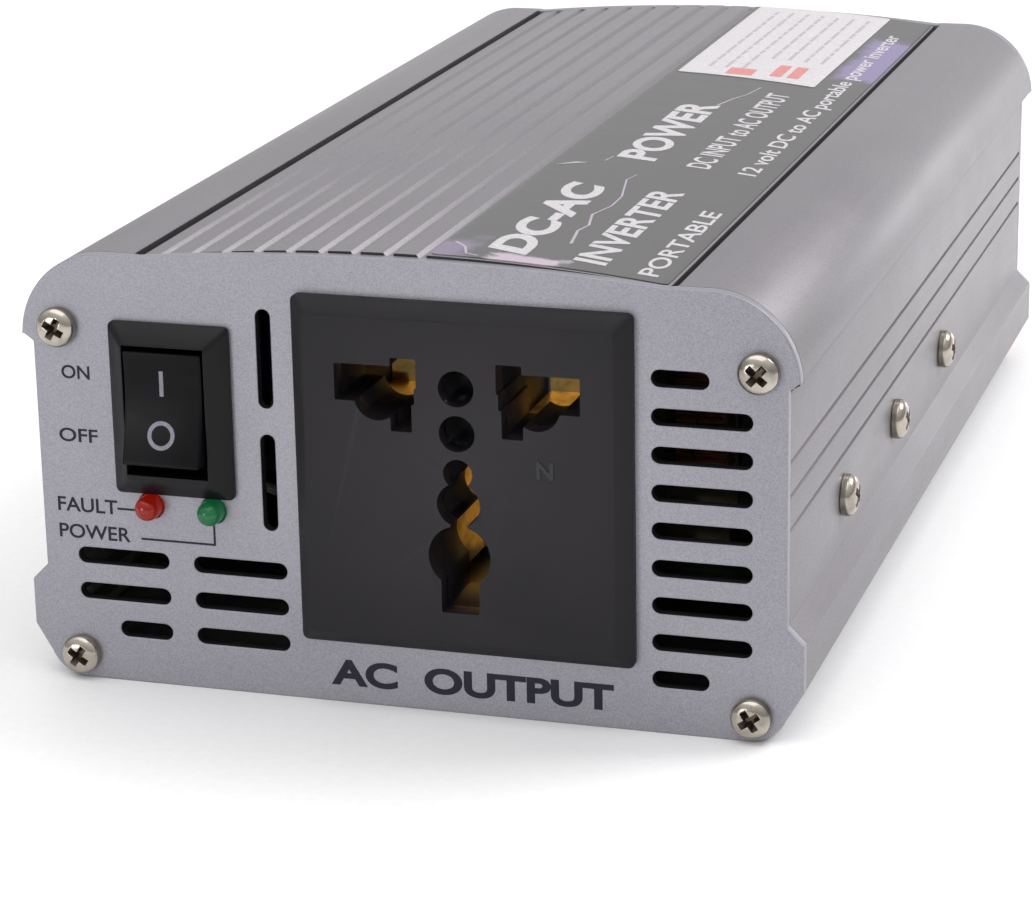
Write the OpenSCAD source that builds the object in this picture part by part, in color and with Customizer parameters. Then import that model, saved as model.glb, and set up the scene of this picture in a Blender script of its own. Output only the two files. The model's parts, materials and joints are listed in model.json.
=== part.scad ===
// Small 12 V power inverter in an extruded aluminium case.
// +Z up, the AC panel faces -Y, the DC terminals point along +Y. The origin is under the middle of
// the whole object, on the surface that it stands on. Lengths are millimetres.
// Inside the modules y is counted from the outer face of the front plate, and at_front() moves it.

/* [Case] */
// Width across the flared foot
case_w = 95; // [94:0.5:98]
// Length of the two extrusions between the end plates
body_l = 164; // [164:1:190]
// Thickness of the front and rear plates
plate_t = 1.5; // [1.2:0.1:2]
// Thickness of the extruded walls
wall_t = 2.2; // [1.8:0.1:2.4]
// Height of the lid at its middle
crown_z = 54.8; // [54.6:0.1:56]
// Height of the joint between base and lid
seam_z = 41.4; // [41:0.1:41.8]

/* [Lid ribs] */
// Number of grooves along the lid
rib_grooves = 9; // [6:1:9]
// Distance between grooves
rib_pitch = 3.95; // [3.5:0.05:3.95]
// Width of a groove
rib_groove_w = 1.3; // [0.8:0.1:1.6]
// Depth of a groove
rib_groove_d = 0.5; // [0.3:0.1:0.8]

/* [Socket] */
// Middle of the AC socket, across
outlet_x = 7.7; // [5:0.1:9]
// Middle of the AC socket, up
outlet_z = 28.95; // [28:0.05:30]
// Width of the socket face
outlet_w = 40.5; // [40:0.5:42]
// Height of the socket face
outlet_h = 42; // [41:0.5:42]
// How far the socket face stands out of the panel
outlet_out = 2.6; // [2:0.1:3]

/* [Switch] */
// Middle of the switch, across
switch_x = -28.1; // [-28.6:0.1:-27.5]
// Middle of the switch, up
switch_z = 34.75; // [34:0.25:36]
// Half of the rocker's travel
rocker_tilt = 8; // [7:1:9]
// Half of the seesaw contact's travel
seesaw_tilt = 5; // [3:1:5]

/* [Fan] */
// Side of the square fan frame
fan_w = 40; // [40:1:41]
// Depth of the fan frame
fan_d = 20; // [20:1:20]
// Middle of the fan, across
fan_x = -18.5; // [-18.5:0.5:-18]
// Middle of the fan, up
fan_z = 26.5; // [26:0.5:27]
// Number of blades
fan_blades = 7; // [5:1:9]

/* [DC terminals] */
// Positive terminal, across
positive_x = 33.5; // [33:0.5:34]
// Negative terminal, across
negative_x = 13; // [12.5:0.5:13]
// Height of both terminals
terminal_z = 26.5; // [24:0.5:30]
// Radius of the threaded stud
stud_r = 3; // [2.9:0.05:3]
// Length of a knob
knob_l = 15; // [12:1:18]
// Radius of a knob
knob_r = 8; // [7:0.5:8.5]

/* [Hidden] */
$fn = 48;
half_w = case_w / 2;
side_x = half_w - 2;
wall_x = side_x - wall_t;
floor_t = 2.2;
plate_crown_z = crown_z - 0.3;
rear_y = plate_t + body_l;
case_l = rear_y + plate_t;
gap = 0.05;
wire_sides = 8;

// Foot and shoulder of the case
foot_r = 4.875;
foot_x = half_w - 6.5;
shoulder_r = 10.5;
shoulder_x = half_w - 11.1;
shoulder_z = 42.5;
lid_edge_x = 32.65;
crown_half = 31.75;
crown_rise = 2.1;
crown_r = (crown_half * crown_half + crown_rise * crown_rise) / (2 * crown_rise);
step_floor_z = 52.1;
ceiling_z = 50.6;
first_groove_x = -28.95;
side_groove_z = [33.3, 29.3, 25.3];

// Screws of the case
corner_points = [[half_w - 5.3, 44], [half_w - 6, 3.1], [5.3 - half_w, 44], [6 - half_w, 3.1]];
corner_bore_r = 1.45;
corner_shank_r = 1.4;
boss_r = 3.05;
side_screw_y = [31, 63.3, 97.5];
side_screw_z = 20.2;
side_hole_r = 1.6;

// Front panel
lamp_z = 22.65;
fault_x = -31.5;
power_x = -23.6;
lamp_r = 1.5;
lamp_hole_r = 1.6;
slot_w = 2;
left_slots = [[-41.3, -29.6, 15.7], [-41.3, -29.6, 11.2], [-36.3, -29.6, 6.7],
              [-26.4, -14.6, 15.7], [-26.4, -14.6, 11.2], [-26.4, -14.6, 6.7]];
right_slot_x = 29.8;
right_slot_end = 41.5;
right_short_end = 36.5;
right_slot_rows = 9;
right_slot_top = 42.56;
right_slot_pitch = 4.49;
tall_slot_x = -16.4;
tall_slots = [[35.7, 47.6], [20.7, 32.5]];
cutout_w = 35.4;
cutout_h = 37.4;

// Socket depth
face_back_y = 8;
chamber_back_y = 22;
cover_back_y = 23.5;
outlet_bevel = 1.7;

// Switch: the rocker's pivot lies just behind the panel's face and above the bezel's middle
pivot_y = 1;
pivot_up = 0.3;
pivot_z = switch_z + pivot_up;
rocker_half = 6.7;
rocker_w = 9.7;
rocker_proud = 2.9;
bezel_w = 15;
bezel_h = 21;
bezel_out = 2.6;
opening_w = 10.2;
opening_h = 15.8;
housing_w = 12.8;
housing_h = 18.8;
housing_back_y = 15;
trunnion_r = 0.9;
rocker_face = (rocker_proud + pivot_y) / cos(rocker_tilt);
rocker_rise = rocker_half * tan(rocker_tilt);
rocker_out = (rocker_face + rocker_rise) * cos(rocker_tilt) + rocker_half * sin(rocker_tilt) - pivot_y;
seesaw_y = 9.4;
plunger_l = 6.4;

// Main board and what stands on it
board_bottom_z = 7.9;
board_t = 1.6;
board_z = board_bottom_z + board_t;
wire_foot_z = board_z + 0.3;
board_front_y = 27;
board_back_y = 140;
ledge_t = 1.2;
bar_front_y = 27;
bar_back_y = 101.5;
pad_t = 0.4;
chip_t = 4.5;
bar_t = 1.5;
chip_y = [39.5, 51.5, 75, 87];
transformer_x = [-17.5, 17.5];
transformer_y = 56;

// Fan, counted forward from the rear plate
fan_y = rear_y - fan_d;
fan_hole = 16;
fan_screw_r = 1.5;
hub_r = 11.5;
shaft_r = 1.5;
blade_r = 18.2;

// DC terminals, counted back from the rear plate's outer face
collar_l = 4;
collar_r = 9;
washer_t = 1.2;
stud_free = 4;
washer_y = case_l + collar_l;
knob_y = washer_y + washer_t;
knob_end_y = knob_y + knob_l;
stud_end_y = knob_end_y + stud_free;
inner_washer_y = rear_y - 3;
inner_nut_y = inner_washer_y - 5;
bus_y = inner_nut_y - 1.5;
lock_nut_y = bus_y - 5;
nut_r = 5.77;

// Whole object
overall_l = rocker_out + stud_end_y;
front_y = rocker_out - overall_l / 2;

// ---- helpers ----

function arc(cx, cz, r, a0, a1, n) =
    [for (i = [0 : n]) [cx + r * cos(a0 + (a1 - a0) * i / n), cz + r * sin(a0 + (a1 - a0) * i / n)]];

function mirrored(points) = [for (i = [len(points) - 1 : -1 : 0]) [-points[i][0], points[i][1]]];

// Moves a piece from panel coordinates to the object's frame.
module at_front() {
    translate([0, front_y, 0]) children();
}

// Extrudes a drawing in X and Z from y0 to y1.
module along_y(y0, y1) {
    translate([0, y1, 0]) rotate([90, 0, 0]) linear_extrude(y1 - y0) children();
}

// A round bar along Y.
module rod(r, y0, y1, x, z) {
    translate([x, y1, z]) rotate([90, 0, 0]) cylinder(r = r, h = y1 - y0);
}

// A round bar along X.
module cross_rod(r, x0, x1, y, z) {
    translate([x0, y, z]) rotate([0, 90, 0]) cylinder(r = r, h = x1 - x0);
}

module block(x0, x1, y0, y1, z0, z1) {
    translate([x0, y0, z0]) cube([x1 - x0, y1 - y0, z1 - z0]);
}

// A horizontal slot with round ends, drawn in X and Z.
module wide_slot(x0, x1, z, w) {
    translate([x0 + w / 2, z - w / 2]) square([x1 - x0 - w, w]);
    translate([x0 + w / 2, z]) circle(r = w / 2);
    translate([x1 - w / 2, z]) circle(r = w / 2);
}

// A vertical slot with round ends, drawn in X and Z.
module tall_slot(x, z0, z1, w) {
    translate([x - w / 2, z0 + w / 2]) square([w, z1 - z0 - w]);
    translate([x, z0 + w / 2]) circle(r = w / 2);
    translate([x, z1 - w / 2]) circle(r = w / 2);
}

// A pan head screw with a cross recess, head towards -Y, its seat at y = 0.
module pan_screw(head_r, head_h, shank_r, shank_l) {
    recess = head_r * 0.62;
    difference() {
        intersection() {
            rod(head_r, -head_h, 0, 0, 0);
            translate([0, 1.45 * head_r - head_h, 0]) sphere(r = 1.45 * head_r);
        }
        block(-recess, recess, -head_h - 1, -head_h * 0.4, -0.4, 0.4);
        block(-0.4, 0.4, -head_h - 1, -head_h * 0.4, -recess, recess);
    }
    rod(shank_r, -0.1, shank_l, 0, 0);
}

// A wire is an eight-sided tube through a list of points that run mostly along Y and Z.
function unit(v) = v / norm(v);

function heading(p, i) = unit(p[min(i + 1, len(p) - 1)] - p[max(i - 1, 0)]);

function wire_ring(p, i, r) =
    let (along = heading(p, i), up = unit(cross([1, 0, 0], along)), side = cross(along, up))
    [for (k = [0 : wire_sides - 1])
        p[i] + r * (cos(k * 360 / wire_sides) * up + sin(k * 360 / wire_sides) * side)];

module wire(points, r) {
    last = len(points) - 1;
    rings = [for (i = [0 : last]) each wire_ring(points, i, r)];
    walls = [for (i = [0 : last - 1], k = [0 : wire_sides - 1])
        let (a = i * wire_sides + k, b = i * wire_sides + (k + 1) % wire_sides)
        each [[a, a + wire_sides, b], [b, a + wire_sides, b + wire_sides]]];
    start_cap = [for (k = [0 : wire_sides - 1]) k];
    end_cap = [for (k = [wire_sides - 1 : -1 : 0]) last * wire_sides + k];
    polyhedron(rings, concat([start_cap], walls, [end_cap]));
}

// ---- outlines in X and Z ----

function foot_points() = concat(
    arc(foot_x, foot_r, foot_r, -90, -22.6, 6),
    [[half_w, 6.4], [half_w, 12.1], [side_x, 14.1]]);

function shoulder_points() = concat(
    [[side_x, 42], [half_w - 0.6, 43]],
    arc(shoulder_x, shoulder_z, shoulder_r, 2.7, 90, 10));

module plate_outline() {
    edge = 31.9;
    rise = 1.6;
    r = (edge * edge + rise * rise) / (2 * rise);
    a = acos(edge / r);
    right = concat(foot_points(), shoulder_points(), [[lid_edge_x, 53]]);
    polygon(concat(right, arc(0, plate_crown_z - r, r, a, 180 - a, 24), mirrored(right)));
}

module corner_holes() {
    for (p = corner_points)
        translate(p) circle(r = corner_shank_r + 0.15);
}

// ---- case ----

module base_profile() {
    right = concat(foot_points(), [[side_x, seam_z]]);
    difference() {
        union() {
            difference() {
                polygon(concat(right, mirrored(right)));
                translate([-wall_x, floor_t]) square([2 * wall_x, seam_z]);
            }
            for (s = [-1, 1]) {
                translate([s * (half_w - 6), 3.1]) circle(r = boss_r);
                for (z = [board_bottom_z - 0.1 - ledge_t, board_z + 0.1])
                    translate([s * (wall_x - 0.8) - 1.2, z]) square([2.4, ledge_t]);
            }
        }
        for (s = [-1, 1]) {
            translate([s * (half_w - 6), 3.1]) circle(r = corner_bore_r);
            for (z = side_groove_z)
                translate([s * side_x - 0.35, z - 0.4]) square([0.7, 0.8]);
        }
    }
}

module base_extrusion() {
    color([0.66, 0.64, 0.67]) at_front() difference() {
        along_y(plate_t, rear_y) base_profile();
        for (y = side_screw_y, s = [-1, 1])
            cross_rod(side_hole_r, s * (half_w - 3) - 3, s * (half_w - 3) + 3, y, side_screw_z);
    }
}

module lid_profile() {
    right = concat([[side_x, seam_z]], shoulder_points(),
                   [[lid_edge_x, 53], [lid_edge_x, step_floor_z], [crown_half, step_floor_z]]);
    a = acos(crown_half / crown_r);
    inner_r = shoulder_r - wall_t;
    difference() {
        polygon(concat(right, arc(0, crown_z - crown_r, crown_r, a, 180 - a, 32), mirrored(right)));
        difference() {
            union() {
                translate([-shoulder_x, seam_z - 1]) square([2 * shoulder_x, ceiling_z - seam_z + 1]);
                for (s = [-1, 1])
                    translate([s * shoulder_x, shoulder_z]) circle(r = inner_r);
                translate([-wall_x, seam_z - 1]) square([2 * wall_x, shoulder_z - seam_z + 1]);
            }
            for (s = [-1, 1]) {
                translate([s * (half_w - 5.3), 44]) circle(r = boss_r);
                translate([s * (wall_x - 0.8) - 0.65, seam_z - 2]) square([1.3, 4]);
            }
        }
        for (s = [-1, 1])
            translate([s * (half_w - 5.3), 44]) circle(r = corner_bore_r);
        for (i = [0 : rib_grooves - 1]) {
            x = first_groove_x + i * rib_pitch;
            top = crown_z - crown_r + sqrt(crown_r * crown_r - x * x);
            translate([x - rib_groove_w / 2, top - rib_groove_d]) square([rib_groove_w, 2]);
        }
    }
}

module top_extrusion() {
    color([0.62, 0.6, 0.63]) at_front() {
        along_y(plate_t, rear_y) lid_profile();
        for (s = [-1, 1])
            block(s * (wall_x - 0.8) - 0.65, s * (wall_x - 0.8) + 0.65, plate_t, rear_y, seam_z - 3, seam_z);
    }
}

module front_cuts() {
    corner_holes();
    translate([outlet_x - cutout_w / 2, outlet_z - cutout_h / 2]) square([cutout_w, cutout_h]);
    translate([switch_x - housing_w / 2, switch_z - housing_h / 2]) square([housing_w, housing_h]);
    for (x = [fault_x, power_x])
        translate([x, lamp_z]) circle(r = lamp_hole_r);
    for (s = tall_slots)
        tall_slot(tall_slot_x, s[0], s[1], 1.8);
    for (s = left_slots)
        wide_slot(s[0], s[1], s[2], slot_w);
    for (i = [0 : right_slot_rows - 1]) {
        end = i == 0 || i == right_slot_rows - 1 ? right_short_end : right_slot_end;
        wide_slot(right_slot_x, end, right_slot_top - i * right_slot_pitch, slot_w);
    }
}

module front_plate() {
    color([0.68, 0.67, 0.71]) at_front() along_y(0, plate_t) difference() {
        plate_outline();
        front_cuts();
    }
}

// Three rings of arc slots with four spokes between them.
module grille_slots() {
    difference() {
        for (r = [8, 12, 16])
            difference() {
                circle(r = r + 1.5);
                circle(r = r - 1.2);
            }
        for (a = [45, 135])
            rotate(a) square([50, 2.4], center = true);
    }
    circle(r = 4);
}

module rear_plate() {
    color([0.68, 0.67, 0.71]) at_front() along_y(rear_y, case_l) difference() {
        plate_outline();
        corner_holes();
        translate([fan_x, fan_z]) grille_slots();
        for (i = [-1, 1], j = [-1, 1])
            translate([fan_x + i * fan_hole, fan_z + j * fan_hole]) circle(r = fan_screw_r + 0.1);
        for (x = [positive_x, negative_x])
            translate([x, terminal_z]) circle(r = 5);
    }
}

module corner_screw() {
    pan_screw(2.4, 1.7, corner_shank_r, 11);
}

module front_plate_screws() {
    color([0.8, 0.78, 0.72]) at_front()
        for (p = corner_points)
            translate([p[0], 0, p[1]]) corner_screw();
}

module rear_plate_screws() {
    color([0.8, 0.78, 0.72]) at_front()
        for (p = corner_points)
            translate([p[0], case_l, p[1]]) rotate([0, 0, 180]) corner_screw();
}

module side_screws() {
    color([0.8, 0.78, 0.72]) at_front()
        for (y = side_screw_y, s = [-1, 1])
            translate([s * side_x, y, side_screw_z]) rotate([0, 0, s * 90]) pan_screw(2.6, 1.6, 1.5, 9.5);
}

// ---- power stage on the side walls ----

module insulating_pads() {
    color([0.75, 0.8, 0.85]) at_front()
        for (s = [-1, 1])
            difference() {
                block(s * (wall_x - pad_t / 2) - pad_t / 2, s * (wall_x - pad_t / 2) + pad_t / 2,
                      bar_front_y, bar_back_y, 12.5, 30);
                for (y = side_screw_y)
                    cross_rod(side_hole_r, s * wall_x - 2, s * wall_x + 2, y, side_screw_z);
            }
}

module transistor() {
    // The flat back is at x = 0 and the leads go down to the board.
    block(-chip_t, 0, -5.1, 5.1, 13.5, 23);
    block(-1.3, 0, -5.1, 5.1, 23, 29);
    for (y = [-2.54, 0, 2.54])
        block(-2.9, -2.4, y - 0.4, y + 0.4, board_z, 13.5);
}

module power_transistors() {
    color([0.12, 0.12, 0.13]) at_front()
        for (y = chip_y) {
            translate([wall_x - pad_t, y, 0]) transistor();
            translate([pad_t - wall_x, y, 0]) rotate([0, 0, 180]) transistor();
        }
}

module clamp_bars() {
    x0 = wall_x - pad_t - chip_t - bar_t;
    color([0.7, 0.7, 0.72]) at_front()
        for (s = [-1, 1])
            difference() {
                block(s * (x0 + bar_t / 2) - bar_t / 2, s * (x0 + bar_t / 2) + bar_t / 2,
                      bar_front_y, bar_back_y, 16, 24.4);
                for (y = side_screw_y)
                    cross_rod(1.55, s * x0 - 3, s * x0 + 3, y, side_screw_z);
            }
}

// ---- switch ----

// A pad with a straight lip and bevelled edges, from y = -t to 0, centred on x and z.
module bevelled_pad(w, h, t, lip, bevel) {
    intersection() {
        translate([0, 0, -h / 2]) linear_extrude(h)
            polygon([[-w / 2, 0], [-w / 2, -lip], [bevel - w / 2, -t], [w / 2 - bevel, -t], [w / 2, -lip], [w / 2, 0]]);
        translate([-w / 2, 0, 0]) rotate([90, 0, 90]) linear_extrude(w)
            polygon([[0, -h / 2], [-lip, -h / 2], [-t, bevel - h / 2], [-t, h / 2 - bevel], [-lip, h / 2], [0, h / 2]]);
    }
}

module switch_housing() {
    color([0.08, 0.08, 0.09]) at_front() translate([switch_x, 0, switch_z]) difference() {
        union() {
            bevelled_pad(bezel_w, bezel_h, bezel_out, 0.6, 2.2);
            block(-housing_w / 2 + gap, housing_w / 2 - gap, -0.1, housing_back_y,
                  -housing_h / 2 + gap, housing_h / 2 - gap);
        }
        translate([0, 0, pivot_up]) {
            block(-opening_w / 2, opening_w / 2, -3, 13, -opening_h / 2, opening_h / 2);
            cross_rod(trunnion_r + 0.05, -5.9, 5.9, pivot_y, 0);
            for (z = [-5, 0, 5])
                block(-2.5, 2.5, 12, 16, z - 0.45, z + 0.45);
        }
    }
}

// Side view of the rocker in the middle of its travel, as [y, z] from the pivot.
function rocker_points() = [
    [-rocker_face, 0], [-rocker_face - rocker_rise, rocker_half], [0.6, rocker_half],
    [2.4, 5], [2.4, -5], [0.6, -rocker_half], [-rocker_face - rocker_rise, -rocker_half]];

module switch_rocker() {
    color([0.06, 0.06, 0.07]) at_front() translate([switch_x, pivot_y, pivot_z])
        rotate([-rocker_tilt, 0, 0]) difference() {
            union() {
                translate([-rocker_w / 2, 0, 0]) rotate([90, 0, 90])
                    linear_extrude(rocker_w) polygon(rocker_points());
                cross_rod(trunnion_r, -5.8, 5.8, 0, 0);
                rod(1.9, 2, 5, 0, 0);
            }
            rod(1.05, 2.6, 6, 0, 0);
        }
}

module switch_plunger() {
    color([0.8, 0.8, 0.78]) at_front() translate([switch_x, pivot_y, pivot_z])
        rotate([-rocker_tilt, 0, 0]) {
            rod(1, 2.6, plunger_l, 0, 0);
            translate([0, plunger_l, 0]) sphere(r = 1);
        }
}

module switch_seesaw() {
    color([0.8, 0.6, 0.3]) at_front() translate([switch_x, seesaw_y, pivot_z])
        rotate([seesaw_tilt, 0, 0]) {
            block(-1.8, 1.8, -0.8, -0.2, -4.6, 4.6);
            cross_rod(0.5, -2.5, 2.5, 0, 0);
        }
}

module switch_terminals() {
    color([0.8, 0.65, 0.35]) at_front() translate([switch_x, 0, pivot_z]) {
        for (z = [-5, 0, 5])
            block(-2.4, 2.4, 12.5, 22, z - 0.4, z + 0.4);
        difference() {
            block(-2.6, 2.6, 8.4, 12.9, -1.2, 1.2);
            block(-2, 2, 8, 12.3, -2, 2);
            cross_rod(0.55, -3, 3, seesaw_y, 0);
        }
        for (z = [-4.6, 4.6])
            block(-1.5, 1.5, seesaw_y + 0.35, 12.9, z - 0.6, z + 0.6);
    }
}

// ---- AC socket ----

// The flat pin slots and the round pin hole of one line, drawn for the right side.
module line_hole() {
    translate([5, 9.3]) square([9.6, 4.4]);
    translate([4.75, 11.2]) square([3.05, 3.5]);
    translate([5.35, 6]) square([2.55, 5.3]);
    translate([9.5, 9.9]) circle(r = 2.75);
}

// The column of holes in the middle.
module middle_holes() {
    translate([0, 11.5]) circle(r = 2.13);
    translate([0, 6.2]) circle(r = 2.15);
    translate([0, 1.4]) circle(r = 1.75);
    translate([0, -2.3]) circle(r = 2.6);
    translate([-1, -8.6]) square([2, 10]);
    translate([0, -8.6]) circle(r = 3.75);
    translate([-2.3, -15.5]) square([4.6, 6.9]);
}

module outlet_face() {
    color([0.16, 0.16, 0.17]) at_front() translate([outlet_x, 0, outlet_z]) difference() {
        union() {
            bevelled_pad(outlet_w, outlet_h, outlet_out, 0.9, outlet_bevel);
            block(-cutout_w / 2 + gap, cutout_w / 2 - gap, -0.1, face_back_y,
                  -cutout_h / 2 + gap, cutout_h / 2 - gap);
        }
        along_y(-5, face_back_y + 1) {
            line_hole();
            mirror([1, 0]) line_hole();
            middle_holes();
        }
        for (x = [-14.6, 14.6])
            rod(0.95, face_back_y - 5, face_back_y + 1, x, -15.4);
    }
}

module outlet_back_cover() {
    color([0.2, 0.2, 0.21]) at_front() translate([outlet_x, 0, outlet_z]) difference() {
        block(-cutout_w / 2 + gap, cutout_w / 2 - gap, face_back_y, cover_back_y,
              -cutout_h / 2 + gap, cutout_h / 2 - gap);
        block(-16, -3.6, face_back_y - 1, chamber_back_y, 3, 17);
        block(3.6, 16, face_back_y - 1, chamber_back_y, 3, 17);
        block(-5.4, 5.4, face_back_y - 1, chamber_back_y, -17, 2);
        for (x = [-14.6, 14.6])
            rod(1.15, face_back_y - 1, cover_back_y + 1, x, -15.4);
        for (x = [-10, 10])
            block(x - 2.6, x + 2.6, chamber_back_y - 1, cover_back_y + 1, 9.5, 10.5);
        block(-2.6, 2.6, chamber_back_y - 1, cover_back_y + 1, -8.5, -7.5);
    }
}

module outlet_screws() {
    color([0.75, 0.75, 0.72]) at_front()
        for (x = [-14.6, 14.6])
            translate([outlet_x + x, cover_back_y, outlet_z - 15.4]) rotate([0, 0, 180])
                pan_screw(2, 1.3, 0.9, 19);
}

// A spring contact for one line: two leaves, a web behind them and a tab through the cover.
module line_contact() {
    block(-5.8, 5.8, 9, 21.4, 14.9, 15.5);
    block(-5.8, 5.8, 9, 21.4, 4.3, 4.9);
    block(-5.8, 5.8, 20.8, 21.4, 4.3, 15.5);
    block(-2.5, 2.5, 21.2, 28, 9.6, 10.4);
}

module live_contact() {
    color([0.85, 0.62, 0.25]) at_front() translate([outlet_x - 10, 0, outlet_z]) line_contact();
}

module neutral_contact() {
    color([0.85, 0.62, 0.25]) at_front() translate([outlet_x + 10, 0, outlet_z]) line_contact();
}

module earth_contact() {
    color([0.85, 0.62, 0.25]) at_front() translate([outlet_x, 0, outlet_z]) {
        block(-5.1, -4.5, 9, 21.4, -15.5, 0.5);
        block(4.5, 5.1, 9, 21.4, -15.5, 0.5);
        block(-5.1, 5.1, 20.8, 21.4, -15.5, 0.5);
        block(-2.5, 2.5, 21.2, 28, -8.4, -7.6);
    }
}

// ---- lamps ----

module lamp(x) {
    at_front() translate([x, 0, lamp_z]) {
        rod(lamp_r, -1.2, 3.5, 0, 0);
        translate([0, -1.2, 0]) sphere(r = lamp_r);
        rod(2, plate_t, plate_t + 1, 0, 0);
        for (dx = [-0.6, 0.6])
            rod(0.25, 3.4, 9, dx, 0);
    }
}

module fault_lamp() {
    color([0.8, 0.1, 0.05]) lamp(fault_x);
}

module power_lamp() {
    color([0.1, 0.6, 0.3]) lamp(power_x);
}

// ---- circuit boards ----

module main_board() {
    color([0.1, 0.35, 0.2]) at_front()
        block(-wall_x + 0.4, wall_x - 0.4, board_front_y, board_back_y, board_bottom_z, board_z);
}

module transformer_cores() {
    color([0.2, 0.2, 0.21]) at_front()
        for (x = transformer_x)
            translate([x, transformer_y, board_z]) difference() {
                block(-16.5, 16.5, -13, 13, 4, 31);
                for (s = [-1, 1])
                    block(s * 9 - 3.6, s * 9 + 3.6, -14, 14, 9, 26);
            }
}

module transformer_bobbins() {
    color([0.75, 0.7, 0.55]) at_front()
        for (x = transformer_x)
            translate([x, transformer_y, board_z]) difference() {
                union() {
                    block(-12.4, 12.4, 13.1, 14.3, 2, 30);
                    block(-12.4, 12.4, -14.3, -13.1, 2, 30);
                    block(-12, 12, -17, -13.1, 0, 3.2);
                    block(-12, 12, 13.1, 17, 0, 3.2);
                }
                block(-5.3, 5.3, -20, 20, 9, 26);
            }
}

module transformer_windings() {
    color([0.75, 0.4, 0.18]) at_front()
        for (x = transformer_x)
            translate([x, transformer_y, board_z]) difference() {
                block(-12.2, 12.2, -19, 19, 9.4, 25.6);
                block(-5.6, 5.6, -20, 20, 0, 30);
                block(-20, 20, -14.4, 14.4, 0, 9.41);
                for (s = [-1, 1])
                    block(-13, 13, s * 13.7 - 0.7, s * 13.7 + 0.7, 0, 30);
            }
}

module input_capacitors() {
    color([0.12, 0.12, 0.2]) at_front()
        for (x = [-29, -14], y = [117, 132])
            translate([x, y, board_z]) cylinder(r = 6.4, h = 25);
}

module high_voltage_capacitor() {
    color([0.1, 0.1, 0.12]) at_front() translate([-21, 92, board_z]) cylinder(r = 11, h = 34);
}

module choke_core() {
    color([0.35, 0.45, 0.3]) at_front() translate([19, 92, board_z + 1.5]) difference() {
        cylinder(r = 11.5, h = 9);
        translate([0, 0, -1]) cylinder(r = 6.5, h = 11);
    }
}

// Two halves of wire wound round the core, with the core's own space left out.
module choke_winding() {
    color([0.8, 0.45, 0.2]) at_front() translate([19, 92, board_z]) difference() {
        cylinder(r = 12.8, h = 12);
        translate([0, 0, -1]) cylinder(r = 5.2, h = 14);
        difference() {
            translate([0, 0, 1.45]) cylinder(r = 11.55, h = 9.1);
            cylinder(r = 6.45, h = 14);
        }
        block(-20, 20, -2, 2, -1, 14);
    }
}

module control_board() {
    color([0.1, 0.35, 0.2]) at_front() block(-4, 32, 108, 109.2, board_z, 38);
}

module control_chips() {
    color([0.1, 0.1, 0.1]) at_front()
        for (p = [[2, 16, 8, 7], [14, 16, 10, 7], [2, 28, 6, 5], [16, 28, 6, 5]])
            block(p[0], p[0] + p[2], 109.2, 110.9, p[1], p[1] + p[3]);
}

module buzzer() {
    color([0.07, 0.07, 0.07]) at_front() translate([2, 124, board_z]) difference() {
        cylinder(r = 6, h = 9.5);
        translate([0, 0, 7]) cylinder(r = 1.2, h = 5);
    }
}

module blade_fuses() {
    color([0.85, 0.5, 0.1]) at_front()
        for (y = [115, 122, 129])
            block(16.5, 35.5, y, y + 5, board_z, board_z + 12);
}

// ---- fan ----

module fan_frame() {
    color([0.07, 0.07, 0.08]) at_front() translate([fan_x, 0, fan_z]) {
        difference() {
            block(-fan_w / 2, fan_w / 2, fan_y, rear_y, -fan_w / 2, fan_w / 2);
            rod(18.9, fan_y - 1, rear_y + 1, 0, 0);
            for (i = [-1, 1], j = [-1, 1]) {
                rod(fan_screw_r + 0.1, fan_y - 1, rear_y + 1, i * fan_hole, j * fan_hole);
            }
        }
        difference() {
            union() {
                rod(11.2, fan_y, fan_y + 2, 0, 0);
                rod(3.6, fan_y + 1, fan_y + 14, 0, 0);
                for (a = [0 : 90 : 270])
                    rotate([0, a, 0]) block(10, 19.2, fan_y, fan_y + 2, -1.2, 1.2);
            }
            rod(shaft_r + 0.05, fan_y + 1, fan_y + 15, 0, 0);
        }
    }
}

// Four poles round the bearing tube.
module fan_stator() {
    color([0.7, 0.4, 0.2]) at_front() translate([fan_x, 0, fan_z]) difference() {
        union() {
            rod(5.2, fan_y + 4, fan_y + 12, 0, 0);
            for (a = [0 : 90 : 270])
                rotate([0, a, 0]) intersection() {
                    rod(9.3, fan_y + 4, fan_y + 12, 0, 0);
                    block(0, 10, fan_y + 4, fan_y + 12, -2.6, 2.6);
                }
        }
        rod(3.65, fan_y + 3, fan_y + 13, 0, 0);
    }
}

module fan_rotor() {
    hub_front = fan_y + 3;
    hub_back = rear_y - 1.5;
    color([0.09, 0.09, 0.1]) at_front() translate([fan_x, 0, fan_z]) {
        difference() {
            rod(hub_r, hub_front, hub_back, 0, 0);
            rod(hub_r - 1.3, hub_front - 1, hub_back - 1.5, 0, 0);
        }
        rod(shaft_r, fan_y + 2, hub_back - 1, 0, 0);
        intersection() {
            difference() {
                rod(blade_r, hub_front, hub_back, 0, 0);
                rod(hub_r - 0.4, hub_front - 1, hub_back + 1, 0, 0);
            }
            union() {
                for (i = [0 : fan_blades - 1])
                    rotate([0, i * 360 / fan_blades, 0])
                        translate([15, (hub_front + hub_back) / 2, 0]) rotate([38, 0, 0])
                            block(-6, 6, -12, 12, -0.55, 0.55);
            }
        }
    }
}

module fan_screws() {
    color([0.8, 0.78, 0.72]) at_front()
        for (i = [-1, 1], j = [-1, 1])
            translate([fan_x + i * fan_hole, case_l, fan_z + j * fan_hole]) rotate([0, 0, 180])
                pan_screw(2.7, 1.6, fan_screw_r, fan_d + plate_t + 3);
}

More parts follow.
